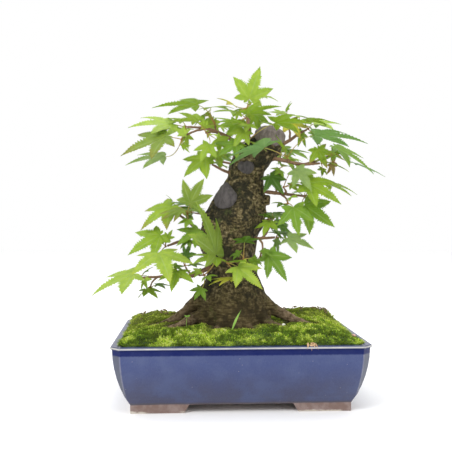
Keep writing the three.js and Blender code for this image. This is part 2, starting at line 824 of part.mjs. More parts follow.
// A blade of grass that stands in the moss: a flat tapering strip, bent to the right.
function grassSolid() {
  const root = new THREE.Vector3(-9, -66, 0);
  root.z = groundHeight(root.x, root.y) + clearance;
  const curve = new THREE.CatmullRomCurve3([
    root,
    root.clone().add(new THREE.Vector3(3, -2, 12)),
    root.clone().add(new THREE.Vector3(11, -4, 24)),
  ]);
  return taperedLimb(curve, 1.4, 0.4, 4, 4);
}

const finishes = {
  glaze: { color: 0x2c4a8f, roughness: 0.2, metalness: 0 },
  mesh: { color: 0x2b2b2b, roughness: 0.7, metalness: 0 },
  soil: { color: 0x3a2f26, roughness: 1, metalness: 0 },
  moss: { color: 0x6f9a2f, roughness: 1, metalness: 0 },
  bark: { color: 0x6a5a3e, roughness: 0.9, metalness: 0 },
  paste: { color: 0x7d7278, roughness: 0.8, metalness: 0 },
  twig: { color: 0x7a4a2c, roughness: 0.7, metalness: 0 },
  leaf: { color: 0x7fb33a, roughness: 0.5, metalness: 0 },
};

const group = new THREE.Group();

function addPiece(name, solid, finish) {
  const mesh = new THREE.Mesh(geometryOf(solid), new THREE.MeshStandardMaterial(finishes[finish]));
  mesh.name = name;
  group.add(mesh);
  return solid;
}

addPiece("pot", potSolid(), "glaze");
drainPlaces().forEach((x, index) => addPiece(`drain_mesh_${index + 1}`, drainMeshSolid(x), "mesh"));
addPiece("soil", soilSolid(), "soil");
const placed = [
  addPiece("moss", mossSolid(), "moss"),
  addPiece("trunk", trunkSolid(0), "bark"),
];
Object.entries(woundPatches).forEach(([name, patch]) => placed.push(addPiece(name, woundPatch(patch), "paste")));
placed.push(addPiece("grass_blade", grassSolid(), "leaf"));
const buds = {};
Object.entries(branches).forEach(([name, branch]) => {
  placed.push(addPiece(`branch_${name}`, branchSolid(branch, buds), "twig"));
});
// A spray keeps clear of the buds that are still to open as well as of what already stands.
Object.entries(sprays).forEach(([name, rows]) => {
  const otherBuds = Object.keys(sprays).filter((other) => other !== name).map((other) => budSolid(buds[other]));
  const spray = spraySolid(buds[name], rows, [...placed, ...otherBuds]);
  placed.push(addPiece(`leaves_${name}`, spray, "leaf"));
});

// The origin goes under the middle of the outline, at the bottom of the feet.
const bounds = new THREE.Box3().setFromObject(group);
const middle = bounds.getCenter(new THREE.Vector3());
group.position.set(-middle.x, -middle.y, -bounds.min.z);

export default group;
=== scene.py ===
import bmesh
import bpy
import numpy as np
from math import radians
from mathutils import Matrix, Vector
from mathutils.bvhtree import BVHTree


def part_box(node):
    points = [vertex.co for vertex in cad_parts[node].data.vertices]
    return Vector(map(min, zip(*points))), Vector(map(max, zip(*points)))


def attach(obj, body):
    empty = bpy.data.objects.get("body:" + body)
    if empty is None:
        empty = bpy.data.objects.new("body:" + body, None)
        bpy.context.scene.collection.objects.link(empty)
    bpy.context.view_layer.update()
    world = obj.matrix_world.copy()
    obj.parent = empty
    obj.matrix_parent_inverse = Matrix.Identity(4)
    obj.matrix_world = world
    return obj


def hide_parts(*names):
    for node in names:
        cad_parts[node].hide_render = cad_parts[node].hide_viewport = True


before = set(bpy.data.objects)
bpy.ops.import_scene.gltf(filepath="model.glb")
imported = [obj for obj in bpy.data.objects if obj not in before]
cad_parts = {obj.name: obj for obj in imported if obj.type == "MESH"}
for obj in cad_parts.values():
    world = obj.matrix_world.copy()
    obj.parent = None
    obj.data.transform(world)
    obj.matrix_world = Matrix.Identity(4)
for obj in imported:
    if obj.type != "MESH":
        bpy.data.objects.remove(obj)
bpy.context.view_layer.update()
mm = 0.001
potLow, potHigh = (np.array(corner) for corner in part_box("pot"))
potMiddle = (potLow + potHigh) / 2
mossLow, mossHigh = (np.array(corner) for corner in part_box("moss"))
trunkLow, trunkHigh = (np.array(corner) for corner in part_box("trunk"))
print("frame loaded,", len(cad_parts), "parts")


class Wire:
    # One output of a node, with arithmetic: each sum or product adds a Math node.
    def __init__(self, finish, socket):
        self.finish, self.socket = finish, socket

    def calc(self, operation, *others):
        # The Math node of this output and the others, in that order.
        return self.finish.node("Math", {"operation": operation}, dict(enumerate((self, *others))))

    def __add__(self, other):
        # The sum with a wire or a number.
        return self.calc("ADD", other)

    def __sub__(self, other):
        # This less the other.
        return self.calc("SUBTRACT", other)

    def __rsub__(self, other):
        # The other less this.
        return self.finish.node("Math", {"operation": "SUBTRACT"}, {0: other, 1: self})

    def __mul__(self, other):
        # The product with a wire or a number.
        return self.calc("MULTIPLY", other)

    __radd__, __rmul__ = __add__, __mul__


class Finish:
    # A material: node() adds any node, and the rest are the patterns that several materials share.
    def __init__(self, name):
        self.material = bpy.data.materials.new(name)
        self.material.use_nodes = True
        self.tree = self.material.node_tree
        self.tree.nodes.clear()
        self.place = self.node("TexCoord", output=3)

    def node(self, kind, settings=None, inputs=None, output=0):
        # Adds a node: its settings first, then a value or a link for each input. The key stops fills a ramp.
        made = self.tree.nodes.new("ShaderNode" + kind)
        for key, value in (settings or {}).items():
            if key == "stops":
                ramp = made.color_ramp.elements
                ramp[0].position, ramp[-1].position = value[0][0], value[-1][0]
                for place, _ in value[1:-1]:
                    ramp.new(place)
                for element, (_, colour) in zip(ramp, value):
                    element.color = (*colour, 1)
            else:
                setattr(made, key, value)
        for key, value in (inputs or {}).items():
            if isinstance(value, Wire):
                self.tree.links.new(value.socket, made.inputs[key])
            else:
                made.inputs[key].default_value = value
        return Wire(self, made.outputs[output])

    def noise(self, size, detail=3.0, rough=0.55, stretch=(1, 1, 1)):
        # Cloudy noise from 0 to 1 whose blobs are size millimetres wide.
        place = self.node("Mapping", {}, {"Vector": self.place, "Scale": stretch})
        inputs = {"Vector": place, "Scale": 1000 / size, "Detail": detail, "Roughness": rough}
        return self.node("TexNoise", {}, inputs)

    def specks(self, size):
        # Distance from scattered points, about size millimetres apart, in shares of that.
        return self.node("TexVoronoi", {}, {"Vector": self.place, "Scale": 1000 / size})

    def step(self, value, low, high):
        # A smooth step from 0 at low to 1 at high.
        inputs = {"Value": value, "From Min": low, "From Max": high}
        return self.node("MapRange", {"interpolation_type": "SMOOTHSTEP"}, inputs)

    def ring(self, value, start, full, fade, end):
        # 1 from full to fade, with smooth steps from 0 before and after.
        return self.step(value, start, full) * (1 - self.step(value, fade, end))

    def mix(self, share, first, second):
        # The colour that goes from first to second as share goes from 0 to 1.
        colours = [value if isinstance(value, Wire) else (*value, 1) for value in (first, second)]
        return self.node("Mix", {"data_type": "RGBA"}, {0: share, 6: colours[0], 7: colours[1]}, output=2)

    def ramp(self, value, stops):
        # A colour read off a ramp, whose stops are pairs of place and colour.
        return self.node("ValToRGB", {"stops": stops}, {"Fac": value})

    def attribute(self, name):
        # The colour stored at the points under that name.
        return self.node("Attribute", {"attribute_name": name})

    def height(self):
        # Height above the ground in metres.
        return self.node("SeparateXYZ", {}, {0: self.place}, output=2)

    def bump(self, value, depth, strength=1.0):
        # Relief that is depth millimetres high where the value is 1.
        return self.node("Bump", {}, {"Height": value, "Distance": depth * mm, "Strength": strength})

    def gloss(self, inputs):
        # The common surface, with the inputs that differ from its defaults.
        return self.node("BsdfPrincipled", {}, inputs)

    def skin(self, colour, rough, relief, depth, strength=1.0, more=None):
        # A surface of that colour and roughness whose relief is depth millimetres high.
        inputs = {"Base Color": colour, "Roughness": rough, "Normal": self.bump(relief, depth, strength)}
        return self.gloss({**inputs, **(more or {})})

    def lit(self, skin, share, colour):
        # Ends the material with that share of light coming through in that colour.
        glow = self.node("BsdfTranslucent", {}, {"Color": (*colour, 1)})
        return self.done(self.node("MixShader", {}, {0: share, 1: skin, 2: glow}))

    def done(self, shader):
        # Ends the material with that shader.
        end = self.tree.nodes.new("ShaderNodeOutputMaterial")
        self.tree.links.new(shader.socket, end.inputs["Surface"])
        return self.material


def softNoise(points, size, seed):
    # Random values from -1 to 1 at the corners of a lattice of that size, blended smoothly in between.
    cell = points / size
    corner = np.floor(cell).astype(np.int64)
    share = cell - corner
    share = share * share * (3 - 2 * share)
    total = np.zeros(len(points))
    for step in np.ndindex(2, 2, 2):
        x, y, z = (corner + step).T
        mixed = (x * 73856093 ^ y * 19349663 ^ z * 83492791 ^ (seed + 1) * 2654435761) & 0xFFFFFFFF
        mixed = (mixed ^ (mixed >> 13)) * 1274126177 & 0xFFFFFFFF
        mixed = (mixed ^ (mixed >> 16)) & 0xFFFF
        weight = np.prod(np.where(step, share, 1 - share), axis=1)
        total += weight * (mixed / 32767.5 - 1)
    return total


def unit(vectors):
    # Each vector divided by its length.
    return vectors / np.maximum(np.linalg.norm(vectors, axis=-1, keepdims=True), 1e-12)


def ease(value, low, high):
    # The smooth step from 0 at low to 1 at high.
    share = np.clip((value - low) / (high - low), 0, 1)
    return share * share * (3 - 2 * share)


def meshOf(name, points, quads):
    # A mesh from its points in metres and the corner numbers of its faces.
    mesh = bpy.data.meshes.new(name)
    mesh.vertices.add(len(points))
    mesh.vertices.foreach_set("co", np.asarray(points, np.float32).ravel())
    mesh.loops.add(quads.size)
    mesh.loops.foreach_set("vertex_index", quads.astype(np.int32).ravel())
    mesh.polygons.add(len(quads))
    mesh.polygons.foreach_set("loop_start", np.arange(0, quads.size, quads.shape[1], dtype=np.int32))
    mesh.update(calc_edges=True)
    return mesh


def gridQuads(rows, columns, closed=False):
    # Corner numbers of the faces of a grid of points; a closed grid joins its last column to its first.
    row, column = np.meshgrid(np.arange(rows - 1), np.arange(columns - (not closed)), indexing="ij")
    after = (column + 1) % columns
    first, second = row * columns, (row + 1) * columns
    corners = [first + column, first + after, second + after, second + column]
    return np.stack(corners, -1).reshape(-1, 4)


def joined(parts):
    # Several grids as one: each is (points, quads, values by name), with one value row per point.
    starts = np.cumsum([0] + [len(part[0]) for part in parts[:-1]])
    points = np.concatenate([part[0] for part in parts])
    quads = np.concatenate([part[1] + start for part, start in zip(parts, starts)])
    values = {key: np.concatenate([part[2][key] for part in parts]) for key in parts[0][2]}
    return points, quads, values


def pieceOf(name, mesh, finishes, replaced=(), sharp=50):
    # Shows a mesh as a piece of the tree: smooth up to an angle of sharp degrees, and fixed to the root body.
    piece = bpy.data.objects.new(name, mesh)
    bpy.context.scene.collection.objects.link(piece)
    mesh.materials.clear()
    for finish in finishes:
        mesh.materials.append(finish)
    mesh.shade_smooth()
    mesh.set_sharp_from_angle(angle=radians(sharp))
    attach(piece, "root")
    if replaced:
        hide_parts(*replaced)
    return piece


def valuesOn(mesh, values):
    # Stores point values on the mesh: three numbers as a colour, two as a map that the pattern follows.
    for key, rows in values.items():
        if rows.shape[1] == 3:
            layer = mesh.color_attributes.new(key, "FLOAT_COLOR", "POINT")
            layer.data.foreach_set("color", np.c_[rows, np.ones(len(rows))].astype(np.float32).ravel())
        else:
            corner = np.zeros(len(mesh.loops), np.int32)
            mesh.loops.foreach_get("vertex_index", corner)
            layer = mesh.uv_layers.new(name=key)
            layer.data.foreach_set("uv", rows[corner].astype(np.float32).ravel())


def closeSeams(mesh, reach=1e-6, outward=False):
    # Merges points closer than reach metres, and turns the faces outward if asked.
    work = bmesh.new()
    work.from_mesh(mesh)
    bmesh.ops.remove_doubles(work, verts=work.verts, dist=reach)
    if outward:
        bmesh.ops.recalc_face_normals(work, faces=work.faces)
    work.to_mesh(mesh)
    work.free()


def tube(path, radii, sides, values=None):
    # A round section carried along the path: at each point a ring of that radius, square to the path.
    along = unit(np.gradient(path, axis=0))
    helper = np.where(np.abs(along[:, 2:]) > 0.9, [[1.0, 0, 0]], [[0, 0, 1.0]])
    across = unit(np.cross(along, helper))
    upward = np.cross(across, along)
    turn = np.linspace(0, 2 * np.pi, sides, endpoint=False)[None, :, None]
    ring = np.cos(turn) * across[:, None] + np.sin(turn) * upward[:, None]
    points = path[:, None] + ring * np.asarray(radii)[:, None, None]
    count = len(path)
    kept = {key: np.repeat(rows, sides, axis=0) for key, rows in (values or {}).items()}
    return points.reshape(-1, 3), gridQuads(count, sides, closed=True)[:, ::-1], kept


def bent(start, middle, end, count):
    # A curve of second degree from start to end, drawn towards middle.
    share = np.linspace(0, 1, count)[:, None]
    return (1 - share) ** 2 * start + 2 * share * (1 - share) * middle + share**2 * end


def copyOf(names):
    # The named parts' meshes as one new mesh with its doubles merged.
    work = bmesh.new()
    for name in names:
        work.from_mesh(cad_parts[name].data)
    bmesh.ops.remove_doubles(work, verts=work.verts, dist=1e-5)
    mesh = bpy.data.meshes.new("copy")
    work.to_mesh(mesh)
    work.free()
    return mesh


def remeshed(mesh, cell, rounds):
    # An even skin of square cells over the mesh, then smoothed that many times.
    holder = bpy.data.objects.new("holder", mesh)
    bpy.context.scene.collection.objects.link(holder)
    skin = holder.modifiers.new("skin", "REMESH")
    skin.mode, skin.voxel_size = "VOXEL", cell * mm
    calm = holder.modifiers.new("calm", "SMOOTH")
    calm.factor, calm.iterations = 0.5, rounds
    result = bpy.data.meshes.new_from_object(holder.evaluated_get(bpy.context.evaluated_depsgraph_get()))
    bpy.data.objects.remove(holder)
    return result


def pointsOf(mesh):
    # The places of the mesh's points, one row each.
    points = np.zeros(len(mesh.vertices) * 3, np.float32)
    mesh.vertices.foreach_get("co", points)
    return points.reshape(-1, 3).astype(float)


def normalsOf(mesh):
    # The outward direction at each point.
    normals = np.zeros(len(mesh.vertices) * 3, np.float32)
    mesh.vertex_normals.foreach_get("vector", normals)
    return normals.reshape(-1, 3).astype(float)


def pushed(mesh, amount):
    # Each point moved by its amount along its normal.
    moved = pointsOf(mesh) + normalsOf(mesh) * amount[:, None]
    mesh.vertices.foreach_set("co", moved.astype(np.float32).ravel())
    mesh.update()


def treeOf(mesh):
    # Search tree over the mesh's faces.
    faces = [tuple(face.vertices) for face in mesh.polygons]
    return BVHTree.FromPolygons([vertex.co for vertex in mesh.vertices], faces)


def partsNamed(start):
    # Names of the parts that begin so, in order.
    return sorted(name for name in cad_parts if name.startswith(start))


def titleOf(name):
    # A piece's name: leaves_low_right becomes leavesLowRight.
    first, *others = name.split("_")
    return first + "".join(word.capitalize() for word in others)


def reachInside(mesh):
    # Half the distance in millimetres from each point through the wood to its other side.
    tree = treeOf(mesh)
    reach = np.ones(len(mesh.vertices))
    for vertex in mesh.vertices:
        inward = -vertex.normal
        hit = tree.ray_cast(vertex.co + inward * 0.05 * mm, inward)
        if hit[0] is not None:
            reach[vertex.index] = hit[3] * 500
    return reach


stageLook = {
    "cameraFromPot": (-57.6, -882.0, 230.0),  # millimetres from the middle of the pot's foot
    "cameraTurn": 2.83,  # degrees to the right
    "cameraDip": 0.6,  # degrees down
    "lens": 53.12,
    "floorColour": (0.985, 0.985, 0.985),
    "floorHalf": 4.0,  # metres from the middle to each side
    "skyColour": (1.0, 1.0, 1.0),
    "skyStrength": 1.0,
    "aimHeight": 0.2,  # metres above the ground that the lamps face
    "lamps": (  # name, place and width in metres, power
        ("key", (-0.9, -1.0, 1.3), 0.9, 15.0),
        ("fill", (1.3, -1.0, 0.7), 1.2, 4.0),
        ("top", (0.1, 0.5, 1.6), 1.0, 9.0),
    ),
}


def addLight(name, place, target, size, power):
    # A round soft lamp, size metres wide, that faces its target.
    lamp = bpy.data.lights.new(name, "AREA")
    lamp.shape, lamp.size, lamp.energy = "DISK", size, power
    holder = bpy.data.objects.new(name, lamp)
    holder.location = place
    holder.rotation_euler = (Vector(target) - Vector(place)).to_track_quat("-Z", "Y").to_euler()
    bpy.context.scene.collection.objects.link(holder)


def buildStage():
    # Camera, floor, white sky and three soft lamps: from the left front, the right front and above.
    look = stageLook
    camera = bpy.data.objects.new("camera", bpy.data.cameras.new("camera"))
    camera.location = np.array([potMiddle[0], potMiddle[1], 0]) + np.array(look["cameraFromPot"]) * mm
    camera.rotation_euler = (radians(90 - look["cameraDip"]), 0, radians(-look["cameraTurn"]))
    camera.data.lens = look["lens"]
    bpy.context.scene.collection.objects.link(camera)
    bpy.context.scene.camera = camera
    half = look["floorHalf"]
    corners = np.array([[-half, -half, 0], [half, -half, 0], [half, half, 0], [-half, half, 0]])
    floor = bpy.data.objects.new("floor", meshOf("floor", corners, np.array([[0, 1, 2, 3]])))
    paint = Finish("floorPaint")
    plain = paint.gloss({"Base Color": (*look["floorColour"], 1), "Roughness": 0.9})
    floor.data.materials.append(paint.done(plain))
    bpy.context.scene.collection.objects.link(floor)
    sky = bpy.data.worlds.new("sky")
    sky.use_nodes = True
    sky.node_tree.nodes["Background"].inputs[0].default_value = (*look["skyColour"], 1)
    sky.node_tree.nodes["Background"].inputs[1].default_value = look["skyStrength"]
    bpy.context.scene.world = sky
    middle = (potMiddle[0], potMiddle[1], look["aimHeight"])
    for name, place, size, power in look["lamps"]:
        addLight(name, place, middle, size, power)
    bpy.context.scene.view_settings.view_transform = "Standard"


buildStage()
print("stage built")


potLook = {
    "slate": (0.016, 0.034, 0.140),
    "slateLow": (0.034, 0.038, 0.090),
    "slateLight": (0.042, 0.064, 0.165),
    # cobalt is the glaze's own dark blue, and also the colour of the painted shade under the lip
    "cobalt": (0.004, 0.010, 0.085),
    # edge: colour of the pale line on the lip, worn glaze with a painted highlight
    "edge": (0.46, 0.45, 0.42),
    "clay": (0.17, 0.115, 0.098),
    "clayPale": (0.255, 0.200, 0.185),
    "bandDepth": 10.5,  # millimetres under the lip of a darker cobalt glaze band that is painted shade
    "glazeFoot": 10.5,  # height where the glaze ends
    "bevel": 1.1,
    "footTop": 10.0,
    "lip": 4.0,
    "overhang": 2.0,
    "drawIn": 20.0,
    "cornerCut": 11.0,
    "shadowLine": (5.2, 4.4, 3.6, 3.0),  # depths under the rim where it starts, is full, fades and ends
    # depths of the pale line on the lip, which is worn glaze with a painted highlight
    "paleLine": (2.9, 2.2, 1.2, 0.5),
    "cornerDark": (0.026, 0.032, 0.052),
    "lipShadow": (0.035, 0.026, 0.022),
    "wornEdge": (0.26, 0.25, 0.27),
    "chip": (0.50, 0.46, 0.40),
    "clayRed": (0.20, 0.115, 0.09),
    "salt": (0.62, 0.58, 0.50),
    "margin": (0.06, 0.045, 0.04),
}


def potFinish():
    # Glaze above bare clay. The glaze is mottled slate with a cobalt band of painted shade under the lip, a
    #     # line of painted shadow just under the rim, a pale line on the lip that is worn glaze with a
    #     painted highlight,
    #     # worn edges at the cut corners and a brown margin where it ends above the feet.
    look = potLook
    paint = Finish("potGlaze")
    top = float(potHigh[2]) * 1000
    middle = tuple(potMiddle * [1, 1, 0])
    fromMiddle = paint.node("VectorMath", {"operation": "SUBTRACT"}, {0: paint.place, 1: middle})
    axes = [paint.node("SeparateXYZ", {}, {0: fromMiddle}, output=index) * 1000 for index in range(3)]
    x, y, height = axes[0].calc("ABSOLUTE"), axes[1].calc("ABSOLUTE"), axes[2]
    # The walls draw in below the lip with the square of the depth, and the cut corner narrows with them.
    depth = 1 - (height - look["footTop"]) * (1 / (top - look["lip"] - look["footTop"]))
    inset = depth * depth * look["drawIn"] + look["overhang"]
    cutLoss = 0.586  # a cut at 45 degrees loses 2 - sqrt(2) of the inset
    cut = look["cornerCut"] - inset * cutLoss
    half = (potHigh - potLow) * 500
    alongX, alongY = x - (float(half[0]) - inset - cut), y - (float(half[1]) - inset - cut)
    ridge = alongX.calc("ABSOLUTE").calc("MINIMUM", alongY.calc("ABSOLUTE"))
    worn = (1 - paint.step(ridge + paint.noise(3) * 0.8 - 0.4, 0.35, 1.3)) * paint.step(height, 16, 30)
    corner = paint.step(alongX, 0, 1.5) * paint.step(alongY, 0, 1.5)
    wave = paint.noise(16, 2)
    lower = 1 - paint.step(height + wave * 18, 26, 74)
    slate = paint.mix(lower, look["slate"], look["slateLow"])
    slate = paint.mix(paint.step(paint.noise(30, 4), 0.4, 0.7) * 0.7, slate, look["slateLight"])
    fleck = paint.noise(1.3, 3, 0.6, (1, 1, 0.5))
    slate = paint.mix(paint.step(fleck, 0.5, 0.72) * 0.4, slate, look["slateLight"])
    slate = paint.mix((1 - paint.step(fleck, 0.3, 0.42)) * 0.4, slate, look["cobalt"])
    slate = paint.mix(corner * 0.75, slate, look["cornerDark"])
    # Painted shade under the lip: a band that starts the given depth below the rim and ends at the painted
    # shadow line.
    lipShadeBand = paint.step(height + paint.noise(4, 3) * 1.6, top - look["bandDepth"], top - look["bandDepth"] + 2)
    shadow = paint.ring(height, *(top - depth for depth in look["shadowLine"]))
    glaze = paint.mix(shadow * 0.8, slate, look["lipShadow"])
    # The pale line on the lip: partly worn glaze, partly a painted highlight.
    line = paint.ring(height, *(top - depth for depth in look["paleLine"]))
    glaze = paint.mix(line * (0.45 + wave * 0.8), glaze, look["edge"])
    glaze = paint.mix(paint.step(height, top - 0.9, top - 0.3) * 0.8, glaze, look["cobalt"])
    glaze = paint.mix(worn * (0.1 + paint.noise(7, 3) * 0.5), glaze, look["wornEdge"])
    speck = 1 - paint.step(paint.specks(10), 0.015, 0.05)
    glaze = paint.mix(speck * 0.6, glaze, look["chip"])
    grain = paint.noise(1.2, 3)
    clay = paint.mix(paint.step(paint.noise(9, 4), 0.35, 0.7), look["clay"], look["clayPale"])
    clay = paint.mix(grain * 0.4, clay, look["clayRed"])
    salt = 1 - paint.step(height + paint.noise(11, 2) * 7, 4.5, 6.5)
    salt = salt * paint.step(paint.noise(26, 1), 0.42, 0.55)
    clay = paint.mix(salt * 0.7, clay, look["salt"])
    glazed = paint.step(height + wave * 2, look["glazeFoot"] + 0.6, look["glazeFoot"] + 1.8)
    brown = glazed * (1 - paint.step(height + wave * 2, look["glazeFoot"] + 2.2, look["glazeFoot"] + 4.5))
    colour = paint.mix(brown * 0.6, paint.mix(glazed, clay, glaze), look["margin"])
    rough = 0.75 - glazed * 0.45 + paint.noise(5, 3) * 0.1
    relief = paint.noise(7, 3) * 0.6 + grain * (1 - glazed) * 0.6 + paint.noise(26, 2) * 1.6
    coat = {"Coat Weight": glazed * 0.3, "Coat Roughness": 0.12}
    thin = paint.skin(colour, rough, relief, 0.35, 0.5, coat)
    # The darker cobalt surface mixed in over the band under the lip is painted shade.
    thick = paint.gloss({"Base Color": (*look["cobalt"], 1), "Roughness": 0.3, "Specular IOR Level": 0.08})
    share = lipShadeBand * (1 - paint.step(height, top - 3.4, top - 2.6)) * (0.75 + paint.noise(12, 2) * 0.3)
    return paint.done(paint.node("MixShader", {}, {0: share, 1: thin, 2: thick}))


def buildPot():
    # The pot with its flat faces joined and its edges rounded.
    mesh = copyOf(["pot"])
    work = bmesh.new()
    work.from_mesh(mesh)
    bmesh.ops.dissolve_limit(work, angle_limit=radians(0.6), verts=work.verts, edges=work.edges)
    work.to_mesh(mesh)
    work.free()
    piece = pieceOf("potShell", mesh, [potFinish()], ["pot"], 30)
    soft = piece.modifiers.new("softEdges", "BEVEL")
    soft.width, soft.segments, soft.limit_method = potLook["bevel"] * mm, 3, "ANGLE"
    soft.angle_limit, soft.harden_normals = radians(28), True
    return piece


buildPot()
print("pot built")


soilLook = {
    "crumb": (0.018, 0.013, 0.009),
    "crumbBrown": (0.085, 0.055, 0.035),
    "crumbSize": 3.2,
    "net": (0.012, 0.012, 0.013),
    "netDust": (0.05, 0.048, 0.045),
}


def soilFinish():
    # Dark crumbs with browner patches.
    paint = Finish("darkSoil")
    crumb = paint.specks(soilLook["crumbSize"])
    patch = paint.step(paint.noise(5, 4), 0.35, 0.7)
    colour = paint.mix(patch, soilLook["crumb"], soilLook["crumbBrown"])
    return paint.done(paint.skin(colour, 0.95, crumb + paint.noise(2, 3) * 0.6, 1.0))


def meshFinish():
    # Black net with a little dust.
    paint = Finish("drainNet")
    colour = paint.mix(paint.noise(4, 3), soilLook["net"], soilLook["netDust"])
    return paint.done(paint.skin(colour, 0.5, paint.noise(0.8), 0.1))


def finishPart(name, finish):
    # Gives a part that is shown as it is its finish.
    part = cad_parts[name]
    for index in range(max(1, len(part.material_slots))):
        if index >= len(part.data.materials):
            part.data.materials.append(finish)
        part.material_slots[index].material = finish


finishPart("soil", soilFinish())
net = meshFinish()
for name in ("drain_mesh_1", "drain_mesh_2"):
    finishPart(name, net)


leafLook = {
    # Each lobe's heading in degrees and its share of the leaf's length.
    "lobes": ((-104, 0.46), (-50, 0.82), (0, 1.0), (50, 0.82), (104, 0.46)),
    "smallLobe": (144, 0.2),
    "smallLobeShare": 0.6,  # how many leaves have this extra pair of lobes
    "headingSpread": 2.5,
    "reachSpread": 0.045,
    "droop": (0.05, 0.14),
    "curl": (0.0, 0.09),
    "sway": 0.025,
    "toothLean": 0.35,
    "innerNotch": 0.41,
    "outerNotch": 0.30,
    "belly": 0.05,
    "tooth": 0.2,  # share of the lobe's half-width
    "fold": 0.2,
    "thickness": 0.32,
    "rows": 33,
    "stalkRadius": 0.5,
    "fresh": (0.37, 0.52, 0.035),
    "lime": (0.46, 0.60, 0.070),
    "deep": (0.070, 0.175, 0.018),
    "mid": (0.21, 0.36, 0.028),
    "blue": (0.22, 0.40, 0.15),
    "rust": (0.36, 0.17, 0.055),
    "gold": (0.66, 0.58, 0.06),
    "olive": (0.25, 0.33, 0.045),
    "pale": (0.40, 0.52, 0.18),
    "smallLeaves": 2,  # little leaves added close to each bud
    "smallSize": (13.0, 23.0),
    "flatDroop": 0.03,
    "smallClear": 2.0,  # millimetres that an added leaf keeps from other parts
    "smallTries": 40,
    "through": (0.42, 0.58, 0.04),
    "lightThrough": 0.4,
    "shaded": (0.62, 0.74, 0.7),  # what the darker patches keep of the leaf's own colour
    "under": (0.30, 0.42, 0.22),
    "vein": (0.50, 0.62, 0.27),
    "stalkFlush": (0.42, 0.16, 0.06),
    "stalkFoot": (0.55, 0.22, 0.09),
    "stalkEnd": (0.60, 0.58, 0.16),
    "bud": (0.34, 0.12, 0.05),
}


# How a leaf and a bud of the CAD parts are known, in millimetres and square millimetres.
cadLeaf = {
    "plateGap": (0.4, 1.6),
    "shift": 4.0,
    "smallest": 90.0,
    "speck": 2.0,
    "budReach": 1.5,
}


def leafFinishes():
    # Upper and under side: the leaf's own green with darker patches and paler veins, lit through a little.
    look = leafLook
    finishes = []
    for name, under in (("leafTop", False), ("leafUnder", True)):
        paint = Finish(name)
        tint = paint.attribute("leafTint")
        where = paint.node("UVMap", {"uv_map": "leafMap"})
        across = paint.node("SeparateXYZ", {}, {0: where})
        along = paint.node("SeparateXYZ", {}, {0: where}, output=1)
        side = (across - 0.5).calc("ABSOLUTE") * 2
        middle = 1 - paint.step(side, 0.02, 0.12)
        ribs = (along * 9 - side * 2.2).calc("PINGPONG", 0.5)
        ribs = (1 - paint.step(ribs, 0.03, 0.12)) * (1 - paint.step(side, 0.7, 1.0))
        veins = middle.calc("MAXIMUM", ribs * 0.55)
        patch = paint.step(paint.noise(6, 4), 0.35, 0.68)
        darker = paint.node("VectorMath", {"operation": "MULTIPLY"}, {0: tint, 1: look["shaded"]})
        colour = paint.mix(patch * 0.7, tint, darker)
        if under:
            colour = paint.mix(0.42, colour, look["under"])
        colour = paint.mix(veins * (0.55 if under else 0.45), colour, look["vein"])
        relief = paint.noise(2.2, 2) * 0.5 - veins * (-0.8 if under else 0.8)
        skin = paint.skin(colour, 0.62 if under else 0.5, relief, 0.3, 0.7, {"Specular IOR Level": 0.3})
        finishes.append(paint.lit(skin, look["lightThrough"], look["through"]))
    return finishes


def stalkFinish():
    # The stalk's own colour with reddish stretches.
    paint = Finish("leafStalk")
    tint = paint.attribute("leafTint")
    colour = paint.mix(paint.noise(3, 2) * 0.5, tint, leafLook["stalkFlush"])
    return paint.done(paint.skin(colour, 0.45, paint.noise(1), 0.08))


def outlineTemplate():
    # The CAD leaf's outline in leaf lengths: foot, then each lobe's flanks and tip, and the notches between.
    shape = [(0, 0)]
    lobes = [(-104, 0.46, 0), (-50, 0.82, 0.11), (0, 1, 0.13), (50, 0.82, 0.11), (104, 0.46, 0)]
    for index, (heading, reach, flank) in enumerate(lobes):
        sine, cosine = np.sin(radians(heading)), np.cos(radians(heading))
        belly = reach * 0.58
        if flank:
            shape.append((sine * belly - cosine * flank, cosine * belly + sine * flank))
        shape.append((sine * reach, cosine * reach))
        if flank:
            shape.append((sine * belly + cosine * flank, cosine * belly - sine * flank))
        if index < 4:
            turn = radians((heading + lobes[index + 1][0]) / 2)
            notch = 0.22 if index in (0, 3) else 0.34
            shape.append((np.sin(turn) * notch, np.cos(turn) * notch))
    return np.array(shape)


def areaAndMiddle(corners):
    # Area and centre of a flat outline, by the sum over its sides.
    x, y = corners.T
    nextX, nextY = np.roll(x, -1), np.roll(y, -1)
    cross = x * nextY - nextX * y
    area = cross.sum() / 2
    return area, np.array([((x + nextX) * cross).sum(), ((y + nextY) * cross).sum()]) / (6 * area)


def flatFaces(data, points):
    # The mesh's large flat faces, from the largest triangle down: the triangles of one plane that lie near
    # each other. Each is given by area, normal, distance from the origin, middle and corners.
    data.calc_loop_triangles()
    corner = np.zeros(len(data.loop_triangles) * 3, np.int32)
    data.loop_triangles.foreach_get("vertices", corner)
    triangles = points[corner.reshape(-1, 3)]
    cross = np.cross(triangles[:, 1] - triangles[:, 0], triangles[:, 2] - triangles[:, 0])
    areas = np.linalg.norm(cross, axis=1) / 2
    normals = unit(cross)
    offsets = (normals * triangles[:, 0]).sum(1)
    middles = triangles.mean(1)
    free = areas > 1e-9
    faces = []
    while free.any():
        first = np.argmax(areas * free)
        same = free & ((normals @ normals[first]) > 0.9996) & (np.abs(offsets - offsets[first]) < 0.06 * mm)
        same &= np.linalg.norm(middles - middles[first], axis=1) < 90 * mm
        free &= ~same
        area = areas[same].sum()
        if area >= cadLeaf["smallest"] * mm**2:
            middle = (middles[same] * areas[same, None]).sum(0) / area
            faces.append((area, normals[first], offsets[first], middle, triangles[same].reshape(-1, 3)))
        elif areas[first] < cadLeaf["speck"] * mm**2:
            break
    return faces


